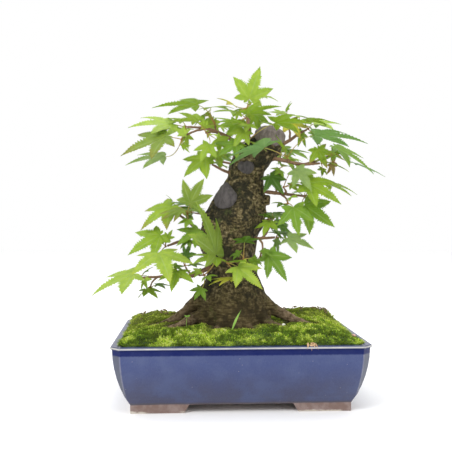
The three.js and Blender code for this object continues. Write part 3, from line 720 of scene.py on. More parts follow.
def fitLeaf(pair):
    # A leaf from the two sides of its plate. The top looks up, and on an upright leaf to the front. The
    # outline is laid on it with its tip at each corner in turn, and the closest fit is kept.
    area, normal, _, middle, corners = max(pair, key=lambda face: face[1] @ [0, -0.5, 1])
    template = outlineTemplate()
    unitArea, unitMiddle = areaAndMiddle(template)
    size = np.sqrt(max(face[0] for face in pair) / abs(unitArea))
    best = None
    distinct = np.unique(np.round(corners, 6), axis=0)
    for tip in distinct:
        axis = tip - middle
        axis -= normal * (axis @ normal)
        if np.linalg.norm(axis) < 0.1 * mm:
            continue
        axis = unit(axis)
        side = np.cross(axis, normal)
        foot = middle - axis * size * unitMiddle[1]
        placed = foot + size * (template[:, :1] * side + template[:, 1:] * axis)
        gaps = np.linalg.norm(placed[:, None] - distinct[None], axis=2).min(1)
        score = np.sort(gaps)[:14].mean()
        if best is None or score < best[0]:
            best = (score, foot, axis)
    fit, foot, axis = best
    return {"foot": foot - normal * 0.5 * mm, "axis": axis, "normal": normal, "size": size, "fit": fit}


def findBud(points):
    # The bud's middle lies under its top point, with mesh points at its reach to all sides and below.
    reach = cadLeaf["budReach"]
    hubs = points + [0, 0, -reach * mm]
    ways = np.array([[1, 0, 0], [-1, 0, 0], [0, 1, 0], [0, -1, 0], [0, 0, -1]]) * reach * mm
    misses = 0
    for way in ways:
        nearest = np.linalg.norm(points[None] - (hubs + way)[:, None], axis=2).min(1)
        misses = misses + np.minimum(nearest, 1 * mm)
    return hubs[np.argmin(misses)]


def findLeaves(name):
    # Two flat faces of a spray that lie back to back are one leaf. Leaves are ordered from left to right.
    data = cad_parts[name].data
    points = pointsOf(data)
    faces = flatFaces(data, points)
    narrow, wide = (limit * mm for limit in cadLeaf["plateGap"])
    leaves, used = [], set()
    for index, (_, normal, offset, middle, _) in enumerate(faces):
        if index in used:
            continue
        for other in range(index + 1, len(faces)):
            opposite = faces[other][1] @ normal < -0.999
            near = np.linalg.norm(faces[other][3] - middle) < cadLeaf["shift"] * mm
            if other not in used and opposite and near and narrow < offset + faces[other][2] < wide:
                used.add(other)
                leaves.append(fitLeaf((faces[index], faces[other])))
                break
    leaves.sort(key=lambda leaf: leaf["foot"][0] + leaf["axis"][0] * leaf["size"])
    return leaves, findBud(points)


def leafSurface(leaf, tints, seed):
    # Each lobe is a flat tube along its midrib. Its half-width follows the line half way to the next lobe
    # up to the notch, then a spear shape with uneven teeth. It rises with the distance from its midrib
    # and droops with the square of the distance from the leaf's foot.
    look = leafLook
    dice = np.random.default_rng(seed)
    rows = look["rows"]
    small, reach = look["smallLobe"]
    lobes = list(look["lobes"])
    if dice.random() < look["smallLobeShare"]:
        lobes = [(-small, reach)] + lobes + [(small, reach)]
    headings = np.array([heading for heading, _ in lobes]) + dice.normal(0, look["headingSpread"], len(lobes))
    headings = headings * leaf.get("open", 1.0)
    reaches = np.array([reach for _, reach in lobes]) * (1 + dice.normal(0, look["reachSpread"], len(lobes)))
    gaps = np.diff(headings) / 2
    halves = np.radians(np.r_[24, gaps, 24])
    notches = [0.1]
    for index in range(len(lobes) - 1):
        far = max(abs(lobes[index][0]), abs(lobes[index + 1][0]))
        notches.append(look["innerNotch"] if far < 60 else look["outerNotch"] if far < 110 else 0.2)
    notches.append(0.1)
    droop = leaf.get("droop", dice.uniform(*look["droop"]))
    share = np.linspace(0, 1, rows)[:, None]
    sides = np.array([-1, -0.5, 0, 0.5, 1, 0.5, 0, -0.5])[None, :]
    below = np.array([0, 0, 0, 0, 0, 1, 1, 1])[None, :]
    parts = []
    for index, (heading, reach) in enumerate(zip(headings, reaches)):
        widths = []
        for half, notch in ((halves[index], notches[index]), (halves[index + 1], notches[index + 1])):
            start = min(notch * np.cos(half) / reach, 0.7)
            past = np.clip((share - start) / (1 - start), 0, 1)
            free = start * reach * np.tan(half) * (1 - past) ** 1.05
            free = free + look["belly"] * reach * np.sin(np.pi * past**0.8)
            odd = ((np.arange(rows) % 2) * 2 - 1)[:, None] * dice.uniform(0.3, 1.5, (rows, 1))
            free = free * (1 + look["tooth"] * odd * ease(past, 0, 0.12))
            widths.append(np.where(share < start, share * reach * np.tan(half), free))
        across = sides * np.where(sides < 0, widths[0], widths[1])
        start = notches[index] / reach
        past = np.clip((share - start) / (1 - start), 0, 1)
        toothed = (np.abs(sides) == 1) * (past > 0.02) * (share < 0.97)
        forward = (np.arange(rows) % 2)[:, None] * look["toothLean"] / rows * toothed
        along = (share + forward) * reach
        sway = dice.normal(0, look["sway"]) * past**2 * reach
        curl = dice.uniform(*look["curl"]) * past**2 * reach
        far = np.hypot(along, across)
        rise = look["fold"] * np.abs(across) * (1 - 0.4 * share) - droop * far**2 - curl
        rise = rise - below * look["thickness"] * mm / leaf["size"] * np.ones_like(rise)
        turn = np.radians(heading)
        flatX = along * np.sin(turn) + (across + sway) * np.cos(turn)
        flatY = along * np.cos(turn) - (across + sway) * np.sin(turn)
        side = np.cross(leaf["axis"], leaf["normal"])
        points = flatX[..., None] * side + flatY[..., None] * leaf["axis"] + rise[..., None] * leaf["normal"]
        points = leaf["foot"] + points * leaf["size"]
        tipShare = np.clip(past * 1.4 - 0.5 + 0.25 * np.abs(sides) ** 3, 0, 1)
        tipShare = tipShare[..., None] * leaf.get("burn", 0.0)
        tint = tints[0] * (1 - tipShare) + tints[1] * tipShare + np.zeros((rows, 8, 1))
        where = np.stack([(sides + 1) / 2 + 0 * share, share + 0 * sides], -1)
        values = {"leafTint": tint.reshape(-1, 3), "leafMap": where.reshape(-1, 2)}
        parts.append((points.reshape(-1, 3), gridQuads(rows, 8, closed=True), values))
    return joined(parts)


def greenFor(leaf, dice):
    # Leaves high up and on the outside are lime, those low or inside are deeper green.
    look = leafLook
    middle = leaf["foot"] + leaf["axis"] * leaf["size"] * 0.5
    outer = np.hypot((middle[0] - 0.01) / 0.17, (middle[2] - 0.20) / 0.2) + 0.25 * (middle[2] - 0.25) / 0.15
    share = np.clip(outer * 0.85 + dice.normal(0, 0.16) - middle[1] * 3.0, 0, 1)
    stops = np.array([look["deep"], look["mid"], look["fresh"], look["lime"]])
    spot = share * (len(stops) - 1)
    low = min(int(spot), len(stops) - 2)
    return stops[low] * (1 - (spot - low)) + stops[low + 1] * (spot - low)


# Leaves that stand out, by spray and place from left to right: colour, colour of the tips, share of that.
oddLeaves = {
    "apex": {0: ("gold", "rust", 0.5), 1: ("lime", "fresh", 0.5)},
    "right_low": {0: ("fresh", "rust", 1.0), 1: ("fresh", "gold", 0.4)},
    "right_crown": {1: ("gold", "rust", 0.8), 2: ("fresh", "rust", 0.7)},
    "right_tip": {0: ("rust", "rust", 0.5), 1: ("mid", "fresh", 0.5), 2: ("blue", "mid", 0.4)},
    "right_front": {0: ("blue", "mid", 0.2), 1: ("blue", "mid", 0.2)},
    "scar_front": {0: ("mid", "deep", 0.3), 1: ("fresh", "lime", 0.3)},
    "left_up_out": {0: ("fresh", "rust", 0.7)},
    "left_up": {0: ("olive", "rust", 0.9), 1: ("olive", "fresh", 0.5)},
    "left_front": {0: ("olive", "rust", 0.6), 1: ("pale", "fresh", 0.5)},
    "front_low": {0: ("gold", "gold", 0.5), 1: ("lime", "gold", 0.4)},
    "front_left": {0: ("mid", "deep", 0.4), 2: ("olive", "lime", 0.8)},
    "front_mid": {0: ("deep", "mid", 0.4)},
    "side_high": {0: ("deep", "mid", 0.3)},
    "side_front": {0: ("mid", "fresh", 0.4)},
    "side_out": {1: ("mid", "fresh", 0.5), 2: ("lime", "pale", 0.5)},
    "side_mid": {0: ("pale", "fresh", 0.5), 1: ("fresh", "lime", 0.4)},
    "low_right_out": {1: ("pale", "fresh", 0.6)},
    "low_left": {0: ("lime", "gold", 0.3)},
    "low_left_tip": {0: ("lime", "fresh", 0.4)},
    "low_left_inner": {0: ("deep", "mid", 0.3), 1: ("deep", "mid", 0.4)},
    "low_right": {0: ("fresh", "mid", 0.4)},
    "left_high": {0: ("lime", "fresh", 0.5)},
}


# Leaves that are not fully open, by spray and place: how far their lobes are spread.
closedLeaves = {
    "left_up": {0: 0.52},
    "front_low": {0: 0.5},
    "right_tip": {1: 0.75, 2: 0.75},
    "right_front": {1: 0.8},
    "left_tip": {0: 0.85},
    "left_front": {1: 0.8},
    "side_out": {2: 0.8},
}


# Sprays that lie close over or under another, whose leaves droop less so that they stay apart.
flatSprays = (
    "scar_front",
    "crown_front",
    "low_right",
    "low_right_out",
    "right_low",
    "right_tip",
    "front_low",
)


def partsTree():
    # Search tree over all the CAD parts above the moss, so that an added leaf can be kept clear of them.
    points, faces, start = [], [], 0
    for name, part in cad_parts.items():
        if name.startswith(("leaves_", "branch_", "wound_paste", "trunk")):
            points.extend(vertex.co.copy() for vertex in part.data.vertices)
            faces.extend(tuple(start + index for index in face.vertices) for face in part.data.polygons)
            start = len(points)
    return BVHTree.FromPolygons(points, faces)


def isClear(leaf, tree, placed):
    # A leaf is clear if its lobes' middles and tips keep their distance from the parts, and its middle
    # lies further from each leaf added before than the two leaves reach together.
    side = np.cross(leaf["axis"], leaf["normal"])
    for heading, reach in leafLook["lobes"]:
        way = np.cos(radians(heading)) * leaf["axis"] + np.sin(radians(heading)) * side
        for share in (0.5, 1.0):
            spot = leaf["foot"] + way * reach * share * leaf["size"]
            if tree.find_nearest(Vector(spot))[3] < leafLook["smallClear"] * mm:
                return False
    middle = leaf["foot"] + leaf["axis"] * leaf["size"] * 0.4
    return all(np.linalg.norm(middle - other) > (leaf["size"] + size) * 0.6 for other, size in placed)


def littleLeaves(leaves, hub, dice, tree, placed):
    # Young leaves near the bud, pointing between the large ones and a little up. Each place is drawn
    # again until it is clear, and a leaf that finds no clear place is left out.
    added = []
    outward = unit(np.mean([leaf["foot"] - hub for leaf in leaves], axis=0) * [1, 1, 0.3] + [0, 0, 1 * mm])
    for _ in range(leafLook["smallLeaves"]):
        for _ in range(leafLook["smallTries"]):
            way = unit(outward * 0.4 + dice.normal(0, 0.6, 3) + [0, 0, 0.15])
            axis = unit(way + dice.normal(0, 0.35, 3) - [0, 0, 0.35])
            face = unit(np.array([0, -0.35, 1.0]) + dice.normal(0, 0.3, 3))
            normal = unit(face - axis * (face @ axis))
            size = dice.uniform(*leafLook["smallSize"]) * mm
            foot = hub + way * dice.uniform(5, 12) * mm
            leaf = {"foot": foot, "axis": axis, "normal": normal, "size": size}
            if isClear(leaf, tree, placed):
                added.append(leaf)
                placed.append((leaf["foot"] + axis * size * 0.4, size))
                break
    return added


def buildLeaves():
    # One piece for each spray: its leaves, a stalk from the bud to each leaf, and the bud.
    finishes = leafFinishes() + [stalkFinish()]
    fits = []
    tree, placed = partsTree(), []
    for number, name in enumerate(partsNamed("leaves_")):
        spray = name[len("leaves_") :]
        leaves, hub = findLeaves(name)
        dice = np.random.default_rng(500 + number)
        parts, marks = [], []
        leaves = leaves + littleLeaves(leaves, hub, np.random.default_rng(900 + number), tree, placed)
        for index, leaf in enumerate(leaves):
            tints = [greenFor(leaf, dice), np.array(leafLook["rust"])]
            special = oddLeaves.get(spray, {}).get(index)
            if special:
                tints = [np.array(leafLook[special[0]]), np.array(leafLook[special[1]])]
                leaf["burn"] = special[2]
            leaf["open"] = closedLeaves.get(spray, {}).get(index, 1.0)
            if spray in flatSprays:
                leaf["droop"] = leafLook["flatDroop"]
            surface = leafSurface(leaf, tints, 40 * number + index)
            parts.append(surface)
            marks.append(np.where(np.arange(len(surface[1])) % 8 >= 4, 1, 0))
            foot = leaf["foot"] - leaf["normal"] * 0.2 * mm
            length = np.linalg.norm(foot - hub)
            middle = foot - leaf["axis"] * length * 0.45 - leaf["normal"] * length * 0.12
            path = bent(hub, middle, foot + leaf["axis"] * 1.2 * mm, 12)
            share = np.linspace(0, 1, 12)[:, None]
            stem = np.array(leafLook["stalkFoot"]) * (1 - share) + np.array(leafLook["stalkEnd"]) * share
            radii = leafLook["stalkRadius"] * mm * (1.35 - 0.5 * share[:, 0] + 0.5 * (share[:, 0] > 0.95))
            radii[-1] = 0.05 * mm
            stalk = tube(path, radii, 6, {"leafTint": stem, "leafMap": np.zeros((12, 2))})
            parts.append(stalk)
            marks.append(np.full(len(stalk[1]), 2))
            fits.append(leaf.get("fit", 0) * 1000)
        knob = hub + np.array([[0, 0, -1.5], [0, 0, -1.1], [0, 0, 0.1], [0.1, 0, 1.2], [0.1, 0, 1.9]]) * mm
        budValues = {"leafTint": np.tile([leafLook["bud"]], (5, 1)), "leafMap": np.zeros((5, 2))}
        bud = tube(knob, np.array([0.1, 1.0, 1.5, 1.0, 0.1]) * mm, 8, budValues)
        parts.append(bud)
        marks.append(np.full(len(bud[1]), 2))
        points, quads, values = joined(parts)
        mesh = meshOf(name, points, quads)
        mesh.polygons.foreach_set("material_index", np.concatenate(marks).astype(np.int32))
        valuesOn(mesh, values)
        closeSeams(mesh, 2e-6)
        pieceOf(titleOf(name), mesh, finishes, [name], 50)
    return fits


leafFits = buildLeaves()
print("leaves built:", len(leafFits), "worst fit", round(max(leafFits), 2), "mm")


woodLook = {
    "cell": 1.15,
    "lump": 1.8,
    "knot": 0.8,
    "crack": 0.55,
    "wrinkle": 0.9,
    "wrinkleTop": 130.0,  # millimetres up to which the trunk is wrinkled
    "pasteCell": 0.7,
    "twigCell": 0.5,
    "bark": (  # place on the ramp and colour
        (0.30, (0.010, 0.009, 0.005)),
        (0.44, (0.042, 0.033, 0.014)),
        (0.56, (0.130, 0.102, 0.046)),
        (0.74, (0.33, 0.27, 0.15)),
    ),
    "barkPatch": (0.010, 0.011, 0.006),
    "barkLow": (0.062, 0.040, 0.014),
    "barkStain": (0.07, 0.10, 0.02),
    "root": ((0.10, 0.065, 0.038), (0.48, 0.35, 0.23)),
    "twig": ((0.115, 0.062, 0.034), (0.30, 0.17, 0.085)),
    "twigFleck": (0.045, 0.03, 0.02),
    "paste": ((0.034, 0.029, 0.028), (0.080, 0.070, 0.067)),
    "pastePale": ((0.095, 0.075, 0.065), (0.235, 0.195, 0.170)),
    "pasteChip": (0.33, 0.24, 0.17),
}


def barkFinish():
    # Cracked bark: a ramp over flakes, and over level wrinkles low down, with large dark patches, paler
    # roots beyond 58 mm from the trunk's middle and a few green stains.
    look = woodLook
    paint = Finish("bark")
    height = paint.height() * 1000
    broad = paint.noise(26, 3)
    fine = paint.noise(3.2, 4, 0.65)
    flakes = paint.noise(4.2, 4, 0.65, (1, 1, 1.25))
    rings = paint.noise(3.4, 3, 0.6, (0.28, 0.28, 1.6))
    low = 1 - paint.step(height, 110, 150)
    grain = flakes * (1 - low * 0.6) + rings * (low * 0.6)
    colour = paint.ramp(grain, look["bark"])
    shade = paint.step(broad * 0.6 + paint.noise(9, 3) * 0.4, 0.47, 0.56)
    colour = paint.mix(shade * 0.82, colour, look["barkPatch"])
    middle = tuple((trunkLow + trunkHigh) / 2)
    place = paint.node("VectorMath", {"operation": "SUBTRACT"}, {0: paint.place, 1: middle})
    flat = paint.node("VectorMath", {"operation": "MULTIPLY"}, {0: place, 1: (1000.0, 1000.0, 0.0)})
    reach = paint.node("VectorMath", {"operation": "LENGTH"}, {0: flat}, output=1)
    root = paint.step(reach + paint.noise(10) * 16, 58, 84) * (1 - paint.step(height, 118, 130))
    rootColour = paint.mix(paint.step(paint.noise(4, 4), 0.3, 0.7), *look["root"])
    colour = paint.mix(root * 0.8, colour, rootColour)
    colour = paint.mix(low * 0.35, colour, look["barkLow"])
    green = paint.step(paint.noise(15, 4), 0.58, 0.72) * 0.35
    colour = paint.mix(green, colour, look["barkStain"])
    return paint.done(paint.skin(colour, 0.9, grain + fine * 0.6, 1.2, 1.0, {"Specular IOR Level": 0.2}))


def twigFinish():
    # Reddish young bark with dark flecks.
    paint = Finish("twigBark")
    colour = paint.mix(paint.noise(7, 3), *woodLook["twig"])
    fleck = paint.step(paint.noise(2, 3), 0.55, 0.7) * 0.6
    colour = paint.mix(fleck, colour, woodLook["twigFleck"])
    return paint.done(paint.skin(colour, 0.7, paint.noise(1.4, 3), 0.25, 0.8))


def pasteFinish(name, dark, light):
    # Dried paste in upright streaks from dark to light, with a few brown chips.
    paint = Finish(name)
    streak = paint.noise(4, 4, 0.6, (1, 1, 0.5))
    colour = paint.mix(paint.step(streak, 0.3, 0.75), dark, light)
    chip = (1 - paint.step(paint.specks(7), 0.03, 0.08)) * 0.6
    colour = paint.mix(chip, colour, woodLook["pasteChip"])
    return paint.done(paint.skin(colour, 0.8, streak + paint.noise(1.1, 2) * 0.3, 0.5, 0.7))


def buildTrunk():
    # An even skin of the trunk: lumps and knots out, wrinkles and cracks in, all by soft noise. The bark
    # is still under each patch of paste and swells in a roll round it.
    look = woodLook
    pastes = partsNamed("wound_paste")
    patchPoints = np.concatenate([pointsOf(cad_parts[name].data) for name in pastes])
    mesh = remeshed(copyOf(["trunk"]), look["cell"], 4)
    points = pointsOf(mesh)
    lump = softNoise(points, 15 * mm, 1) * look["lump"] + softNoise(points, 7 * mm, 2) * look["knot"]
    flat = points * [0.22, 0.22, 1.0]
    wrinkle = 1 - np.abs(softNoise(flat, 3.6 * mm, 3)) * 2
    low = 1 - ease(points[:, 2] * 1000, look["wrinkleTop"] - 25, look["wrinkleTop"])
    crack = 1 - np.abs(softNoise(points * [1, 1, 0.6], 4.2 * mm, 4)) * 2
    amount = lump - np.clip(wrinkle, -0.2, 1) * look["wrinkle"] * low * 0.6
    amount = amount - np.clip(crack, -0.2, 1) * look["crack"] * (1 - low * 0.5)
    near = np.full(len(points), 1.0)
    for start in range(0, len(patchPoints), 400):
        part = patchPoints[start : start + 400]
        near = np.minimum(near, np.linalg.norm(points[:, None] - part[None], axis=2).min(1))
    near = near * 1000
    amount = amount * ease(near, 1.5, 7) + 1.3 * ease(near, 2.0, 4.5) * (1 - ease(near, 5.5, 9)) - 0.2
    pushed(mesh, amount * mm)
    pieceOf("trunkWood", mesh, [barkFinish()], ["trunk"], 70)


def buildPaste():
    # An even skin of each patch, swollen unevenly by soft noise.
    paste = pasteFinish("woundPaste", *woodLook["paste"])
    pastePale = pasteFinish("woundPastePale", *woodLook["pastePale"])
    for name in partsNamed("wound_paste"):
        mesh = remeshed(copyOf([name]), woodLook["pasteCell"], 3)
        points = pointsOf(mesh)
        if name.endswith("middle"):
            # This patch is drop shaped: its upper half is squeezed sideways along its widest level direction.
            around = points - points.mean(0)
            widest = np.linalg.svd(around[:, :2], full_matrices=False)[2][0]
            upper = np.clip(around[:, 2] / around[:, 2].max(), 0, 1) ** 1.3
            offset = (around[:, :2] @ widest) * upper * 0.7
            points[:, :2] -= offset[:, None] * widest
            points[:, 2] += upper * 1.5 * mm
            mesh.vertices.foreach_set("co", points.ravel())
            mesh.update()
        pushed(mesh, (0.35 + softNoise(points, 5 * mm, 6) * 0.35 + softNoise(points, 2 * mm, 7) * 0.12) * mm)
        finish = pastePale if name.endswith("top") else paste
        pieceOf(titleOf(name.replace("wound_", "")), mesh, [finish], [name], 70)


def buildBranches():
    # An even skin of each branch, thinned where it is thick and made uneven by soft noise.
    bark = twigFinish()
    for number, name in enumerate(partsNamed("branch_")):
        mesh = remeshed(copyOf([name]), woodLook["twigCell"], 5)
        points = pointsOf(mesh)
        reach = reachInside(mesh)
        thinner = np.clip(0.45 * (reach - 1.1), 0, 1.7)
        uneven = softNoise(points, 5 * mm, number) * 0.3 + softNoise(points, 2 * mm, 30 + number) * 0.2
        pushed(mesh, (0.15 - thinner + uneven) * mm)
        pieceOf(titleOf(name), mesh, [bark], [name], 70)


buildTrunk()
buildPaste()
buildBranches()
print("wood built")


mossLook = {
    "cell": 1.6,
    "lump": 1.7,
    "spacing": 1.75,
    "blades": 4,
    "bladeHeight": (2.2, 4.2),
    "bladeWidth": 0.95,
    "rimLean": 1.4,
    "green": (0.46, 0.66, 0.05),
    "bright": (0.85, 0.97, 0.17),
    "dark": (0.055, 0.10, 0.012),
    "brown": (0.17, 0.11, 0.045),
    # gap: the dark colour of the painted shade between the shoots
    "gap": (0.02, 0.04, 0.01),
    "yellow": (0.30, 0.44, 0.05),
    "through": (0.35, 0.50, 0.04),
    "carpetTone": 0.7,  # painted shade: the carpet is darker than the shoots on it
    "shootTone": (0.62, 1.15, 1.55),  # painted shade at the foot of a shoot, lighter towards the tip: factors at the foot, the middle and the tip
    "tuftContrast": 0.38,
    "shootContrast": 0.42,
}


trunkTree = treeOf(copyOf(["trunk"]))


def mossHeights(columns, rows):
    # Heights of the moss carpet on an even grid, found by dropping rays on it.
    # Gaps take their neighbours' mean.
    tree = treeOf(copyOf(["moss"]))
    x = np.linspace(mossLow[0], mossHigh[0], columns)
    y = np.linspace(mossLow[1], mossHigh[1], rows)
    heights = np.full((rows, columns), np.nan)
    for row in range(rows):
        for column in range(columns):
            hit = tree.ray_cast(Vector((x[column], y[row], 0.3)), Vector((0, 0, -1)))
            if hit[0] is not None:
                heights[row, column] = hit[0].z
    bare = np.isnan(heights)
    for _ in range(80):
        gaps = np.isnan(heights)
        if not gaps.any():
            break
        framed = np.pad(heights, 1, constant_values=np.nan)
        around = np.stack([framed[:-2, 1:-1], framed[2:, 1:-1], framed[1:-1, :-2], framed[1:-1, 2:]])
        known = ~np.isnan(around)
        mean = np.where(known, around, 0).sum(0) / np.maximum(known.sum(0), 1)
        heights = np.where(gaps & known.any(0), mean, heights)
    return x, y, np.nan_to_num(heights, nan=float(mossLow[2])), bare


def between(x, y, table, places):
    # The table's value at each place, weighed between the four grid points round it.
    column = np.clip((places[:, 0] - x[0]) / (x[1] - x[0]), 0, len(x) - 1.001)
    row = np.clip((places[:, 1] - y[0]) / (y[1] - y[0]), 0, len(y) - 1.001)
    c, r = column.astype(int), row.astype(int)
    u, v = column - c, row - r
    low = table[r, c] * (1 - u) + table[r, c + 1] * u
    return low * (1 - v) + (table[r + 1, c] * (1 - u) + table[r + 1, c + 1] * u) * v


def trunkAway(places):
    # Distance in millimetres from each place to the wood.
    near = trunkTree.find_nearest
    return np.array([near(Vector(place))[3] for place in places]) * 1000


def mossTone(places, dice=None):
    # Bright green in front, brown and dark at the back and at the left, and brown and dark close to the wood
    # by painted shade.
    look = mossLook
    flat = np.c_[places[:, :2], np.zeros(len(places))]
    patch = softNoise(flat, 16 * mm, 11) * 0.6 + softNoise(flat, 5 * mm, 12) * 0.5
    green, bright, dark, brown = (np.array(look[key]) for key in ("green", "bright", "dark", "brown"))
    share = ease(patch, -0.5, 0.7)[:, None]
    tone = dark * (1 - share) + green * share
    lit = ease(patch + dice if dice is not None else patch, 0.15, 1.0)[:, None]
    tone = tone * (1 - lit) + bright * lit
    depth = (places[:, 1] - mossLow[1]) / (mossHigh[1] - mossLow[1])
    wide = (places[:, 0] - mossLow[0]) / (mossHigh[0] - mossLow[0])
    agedAndShaded = ease(depth + 0.25 * softNoise(flat, 22 * mm, 13) + 0.25 * (wide < 0.3), 0.42, 0.75)
    edge = ease(depth, 0.93, 0.98) * ease(wide, 0.6, 0.66)
    # Painted shade: the moss grows darker close to the wood.
    shade = 1 - ease(trunkAway(places), 3, 20)
    agedAndShaded = np.clip(agedAndShaded * 0.6 + edge + shade * 0.8, 0, 1)[:, None]
    return tone * (1 - agedAndShaded) + (brown * 0.75 + dark * 0.25) * agedAndShaded


def mossFinish():
    # The carpet under the shoots: its green with painted shade, and dark gaps of painted shade between the
    # shoots.
    paint = Finish("mossCarpet")
    tone = paint.attribute("mossTint")
    colour = paint.mix(paint.step(paint.noise(1.5, 3), 0.4, 0.65) * 0.6, tone, mossLook["gap"])
    return paint.done(paint.skin(colour, 0.9, paint.noise(1.2, 3), 0.8))


def shootFinish():
    # The shoots' green, which holds their painted shade, with yellower stretches, lit through a little.
    paint = Finish("mossShoots")
    tone = paint.attribute("mossTint")
    colour = paint.mix(paint.noise(2.5, 2) * 0.4, tone, mossLook["yellow"])
    skin = paint.gloss({"Base Color": colour, "Roughness": 0.7, "Specular IOR Level": 0.2})
    return paint.lit(skin, 0.25, mossLook["through"])


def buildCarpet():
    # The carpet's own heights with soft lumps, its corners cut and its edge near the wood let down.
    look = mossLook
    size = (mossHigh - mossLow)[:2] * 1000
    columns, rows = (int(round(length / look["cell"])) + 1 for length in size)
    x, y, heights, bare = mossHeights(columns, rows)
    grid = np.stack(np.meshgrid(x, y), -1).reshape(-1, 2)
    middle = (mossLow + mossHigh)[:2] / 2
    half = (mossHigh - mossLow)[:2] / 2
    over = np.clip(np.abs(grid - middle).sum(1) - (half.sum() - 7.5 * mm), 0, None)
    inside = middle + (np.abs(grid - middle) - over[:, None] / 2) * np.sign(grid - middle)
    surface = np.c_[inside, heights.ravel()]
    flat = np.c_[inside, np.zeros(len(inside))]
    lump = softNoise(flat, 11 * mm, 14) * look["lump"] + softNoise(flat, 4.5 * mm, 15) * 1.0
    edge = np.min(half - np.abs(inside - middle), axis=1) * 1000
    surface[:, 2] += (lump * ease(edge, 0, 5) - 1.5) * mm
    away = ease(trunkAway(surface), 0, 9)
    surface[:, 2] -= (1 - away) * 1.8 * mm
    mesh = meshOf("mossCarpet", surface, gridQuads(rows, columns))
    # The carpet's tint is darkened as painted shade under the shoots.
    valuesOn(mesh, {"mossTint": mossTone(surface) * look["carpetTone"]})
    carpet = pieceOf("mossCarpet", mesh, [mossFinish()], ["moss"], 80)
    body = carpet.modifiers.new("body", "SOLIDIFY")
    body.thickness, body.offset = 4 * mm, -1
    return x, y, surface[:, 2].reshape(rows, columns), bare


def buildShoots(x, y, table, bare):
    # Tufts of shoots on an uneven grid. A shoot is a bent strip of two faces that leans its own way, and
    # those along the rim lean outward over it.
    look = mossLook
    size = (mossHigh - mossLow)[:2] * 1000
    middle = (mossLow + mossHigh)[:2] / 2
    half = (mossHigh - mossLow)[:2] / 2
    dice = np.random.default_rng(9)
    count = (size / look["spacing"]).astype(int)
    spots = np.stack(np.meshgrid(*(np.arange(n) + 0.5 for n in count)), -1).reshape(-1, 2) / count
    spots = mossLow[:2] + (spots + dice.uniform(-0.5, 0.5, spots.shape) / count) * size * mm
    cut = np.abs(spots - middle).sum(1) < half.sum() - 7 * mm
    clear = between(x, y, bare.astype(float), spots) < 0.6
    spots = spots[cut & clear]
    ground = between(x, y, table, spots)
    tall = dice.uniform(*look["bladeHeight"], len(spots)) * mm
    tall *= 0.75 + 0.35 * softNoise(np.c_[spots, ground], 9 * mm, 16)
    tall *= 0.3 + 0.7 * ease(trunkAway(np.c_[spots, ground]), 0, 12)
    tone = mossTone(np.c_[spots, ground], dice.uniform(-0.6, 0.7, len(spots)))
    # Painted shade and light: shoots in the carpet's hollows are darker and those on its lumps lighter.
    level = np.c_[spots, 0 * ground]
    raised = softNoise(level, 4.5 * mm, 15) + 0.5 * softNoise(level, 11 * mm, 14)
    tone *= (0.3 + 1.0 * ease(raised, -0.7, 0.5))[:, None]
    rimShare = ease(np.max(np.abs(spots - middle) / half, axis=1), 0.93, 1.0)
    outward = unit((spots - middle) / half) * rimShare[:, None] * look["rimLean"]
    tone *= np.exp(dice.normal(0, look["tuftContrast"], (len(spots), 1)))
    blades = look["blades"]
    turn = dice.uniform(0, 2 * np.pi, (len(spots), 1)) + np.arange(blades) * 2 * np.pi / blades
    turn = turn + dice.normal(0, 0.3, turn.shape)
    lean = dice.uniform(0.1, 0.75, turn.shape)
    way = np.stack([np.cos(turn) * lean + outward[:, :1], np.sin(turn) * lean + outward[:, 1:]], -1)
    square = np.stack([-np.sin(turn), np.cos(turn)], -1)
    base = np.c_[spots, ground - 0.6 * mm][:, None]
    high = (tall[:, None] * dice.uniform(0.7, 1.15, turn.shape))[..., None]
    width = look["bladeWidth"] * mm
    corners = []
    for up, out, wide in ((0, 0, 0.35), (0.55, 0.35, 0.5), (1, 1, 0.06)):
        centre = base + np.concatenate([way * high * out, high * up], -1)
        offset = np.concatenate([square * width * wide, np.zeros_like(high)], -1)
        corners += [centre - offset, centre + offset]
    points = np.stack(corners, 2).reshape(-1, 3)
    starts = np.arange(len(points) // 6)[:, None, None] * 6
    quads = (starts + np.array([[0, 1, 3, 2], [2, 3, 5, 4]])).reshape(-1, 4)
    whole = len(points) // 6
    # Painted shade at the foot of each shoot, lighter towards its tip.
    shade = np.tile(np.repeat(look["shootTone"], 2), whole)[:, None]
    single = np.exp(dice.normal(0, look["shootContrast"], (whole, 1)))
    tints = np.clip(np.repeat(tone, blades * 6, axis=0) * shade * np.repeat(single, 6, axis=0), 0, 1)
    finish = shootFinish()
    pieces = 3
    for index in range(pieces):
        first, last = whole * index // pieces, whole * (index + 1) // pieces
        mesh = meshOf("mossShoots", points[first * 6 : last * 6], quads[first * 2 : last * 2] - first * 6)
        valuesOn(mesh, {"mossTint": tints[first * 6 : last * 6]})
        pieceOf(f"mossShoots{index + 1}", mesh, [finish], (), 80)


mossX, mossY, mossTable, mossBare = buildCarpet()
buildShoots(mossX, mossY, mossTable, mossBare)
print("moss built")


def onMoss(x, y):
    # The place on top of the moss carpet at x and y.
    return np.array([x, y, between(mossX, mossY, mossTable, np.array([[x, y]]))[0]])


grassLook = {
    "green": (0.20, 0.44, 0.05),
    "pale": (0.48, 0.70, 0.16),
    "through": (0.4, 0.7, 0.08),
    "halfWidth": 1.5,
    "halfThick": 0.2,
}


def bladeFinish():
    # Fresh green with long pale stretches, lit through a little.
    paint = Finish("grassBlade")
    colour = paint.mix(paint.noise(2, 3, 0.5, (3, 3, 0.4)), grassLook["green"], grassLook["pale"])
    skin = paint.gloss({"Base Color": colour, "Roughness": 0.45})
    return paint.lit(skin, 0.3, grassLook["through"])


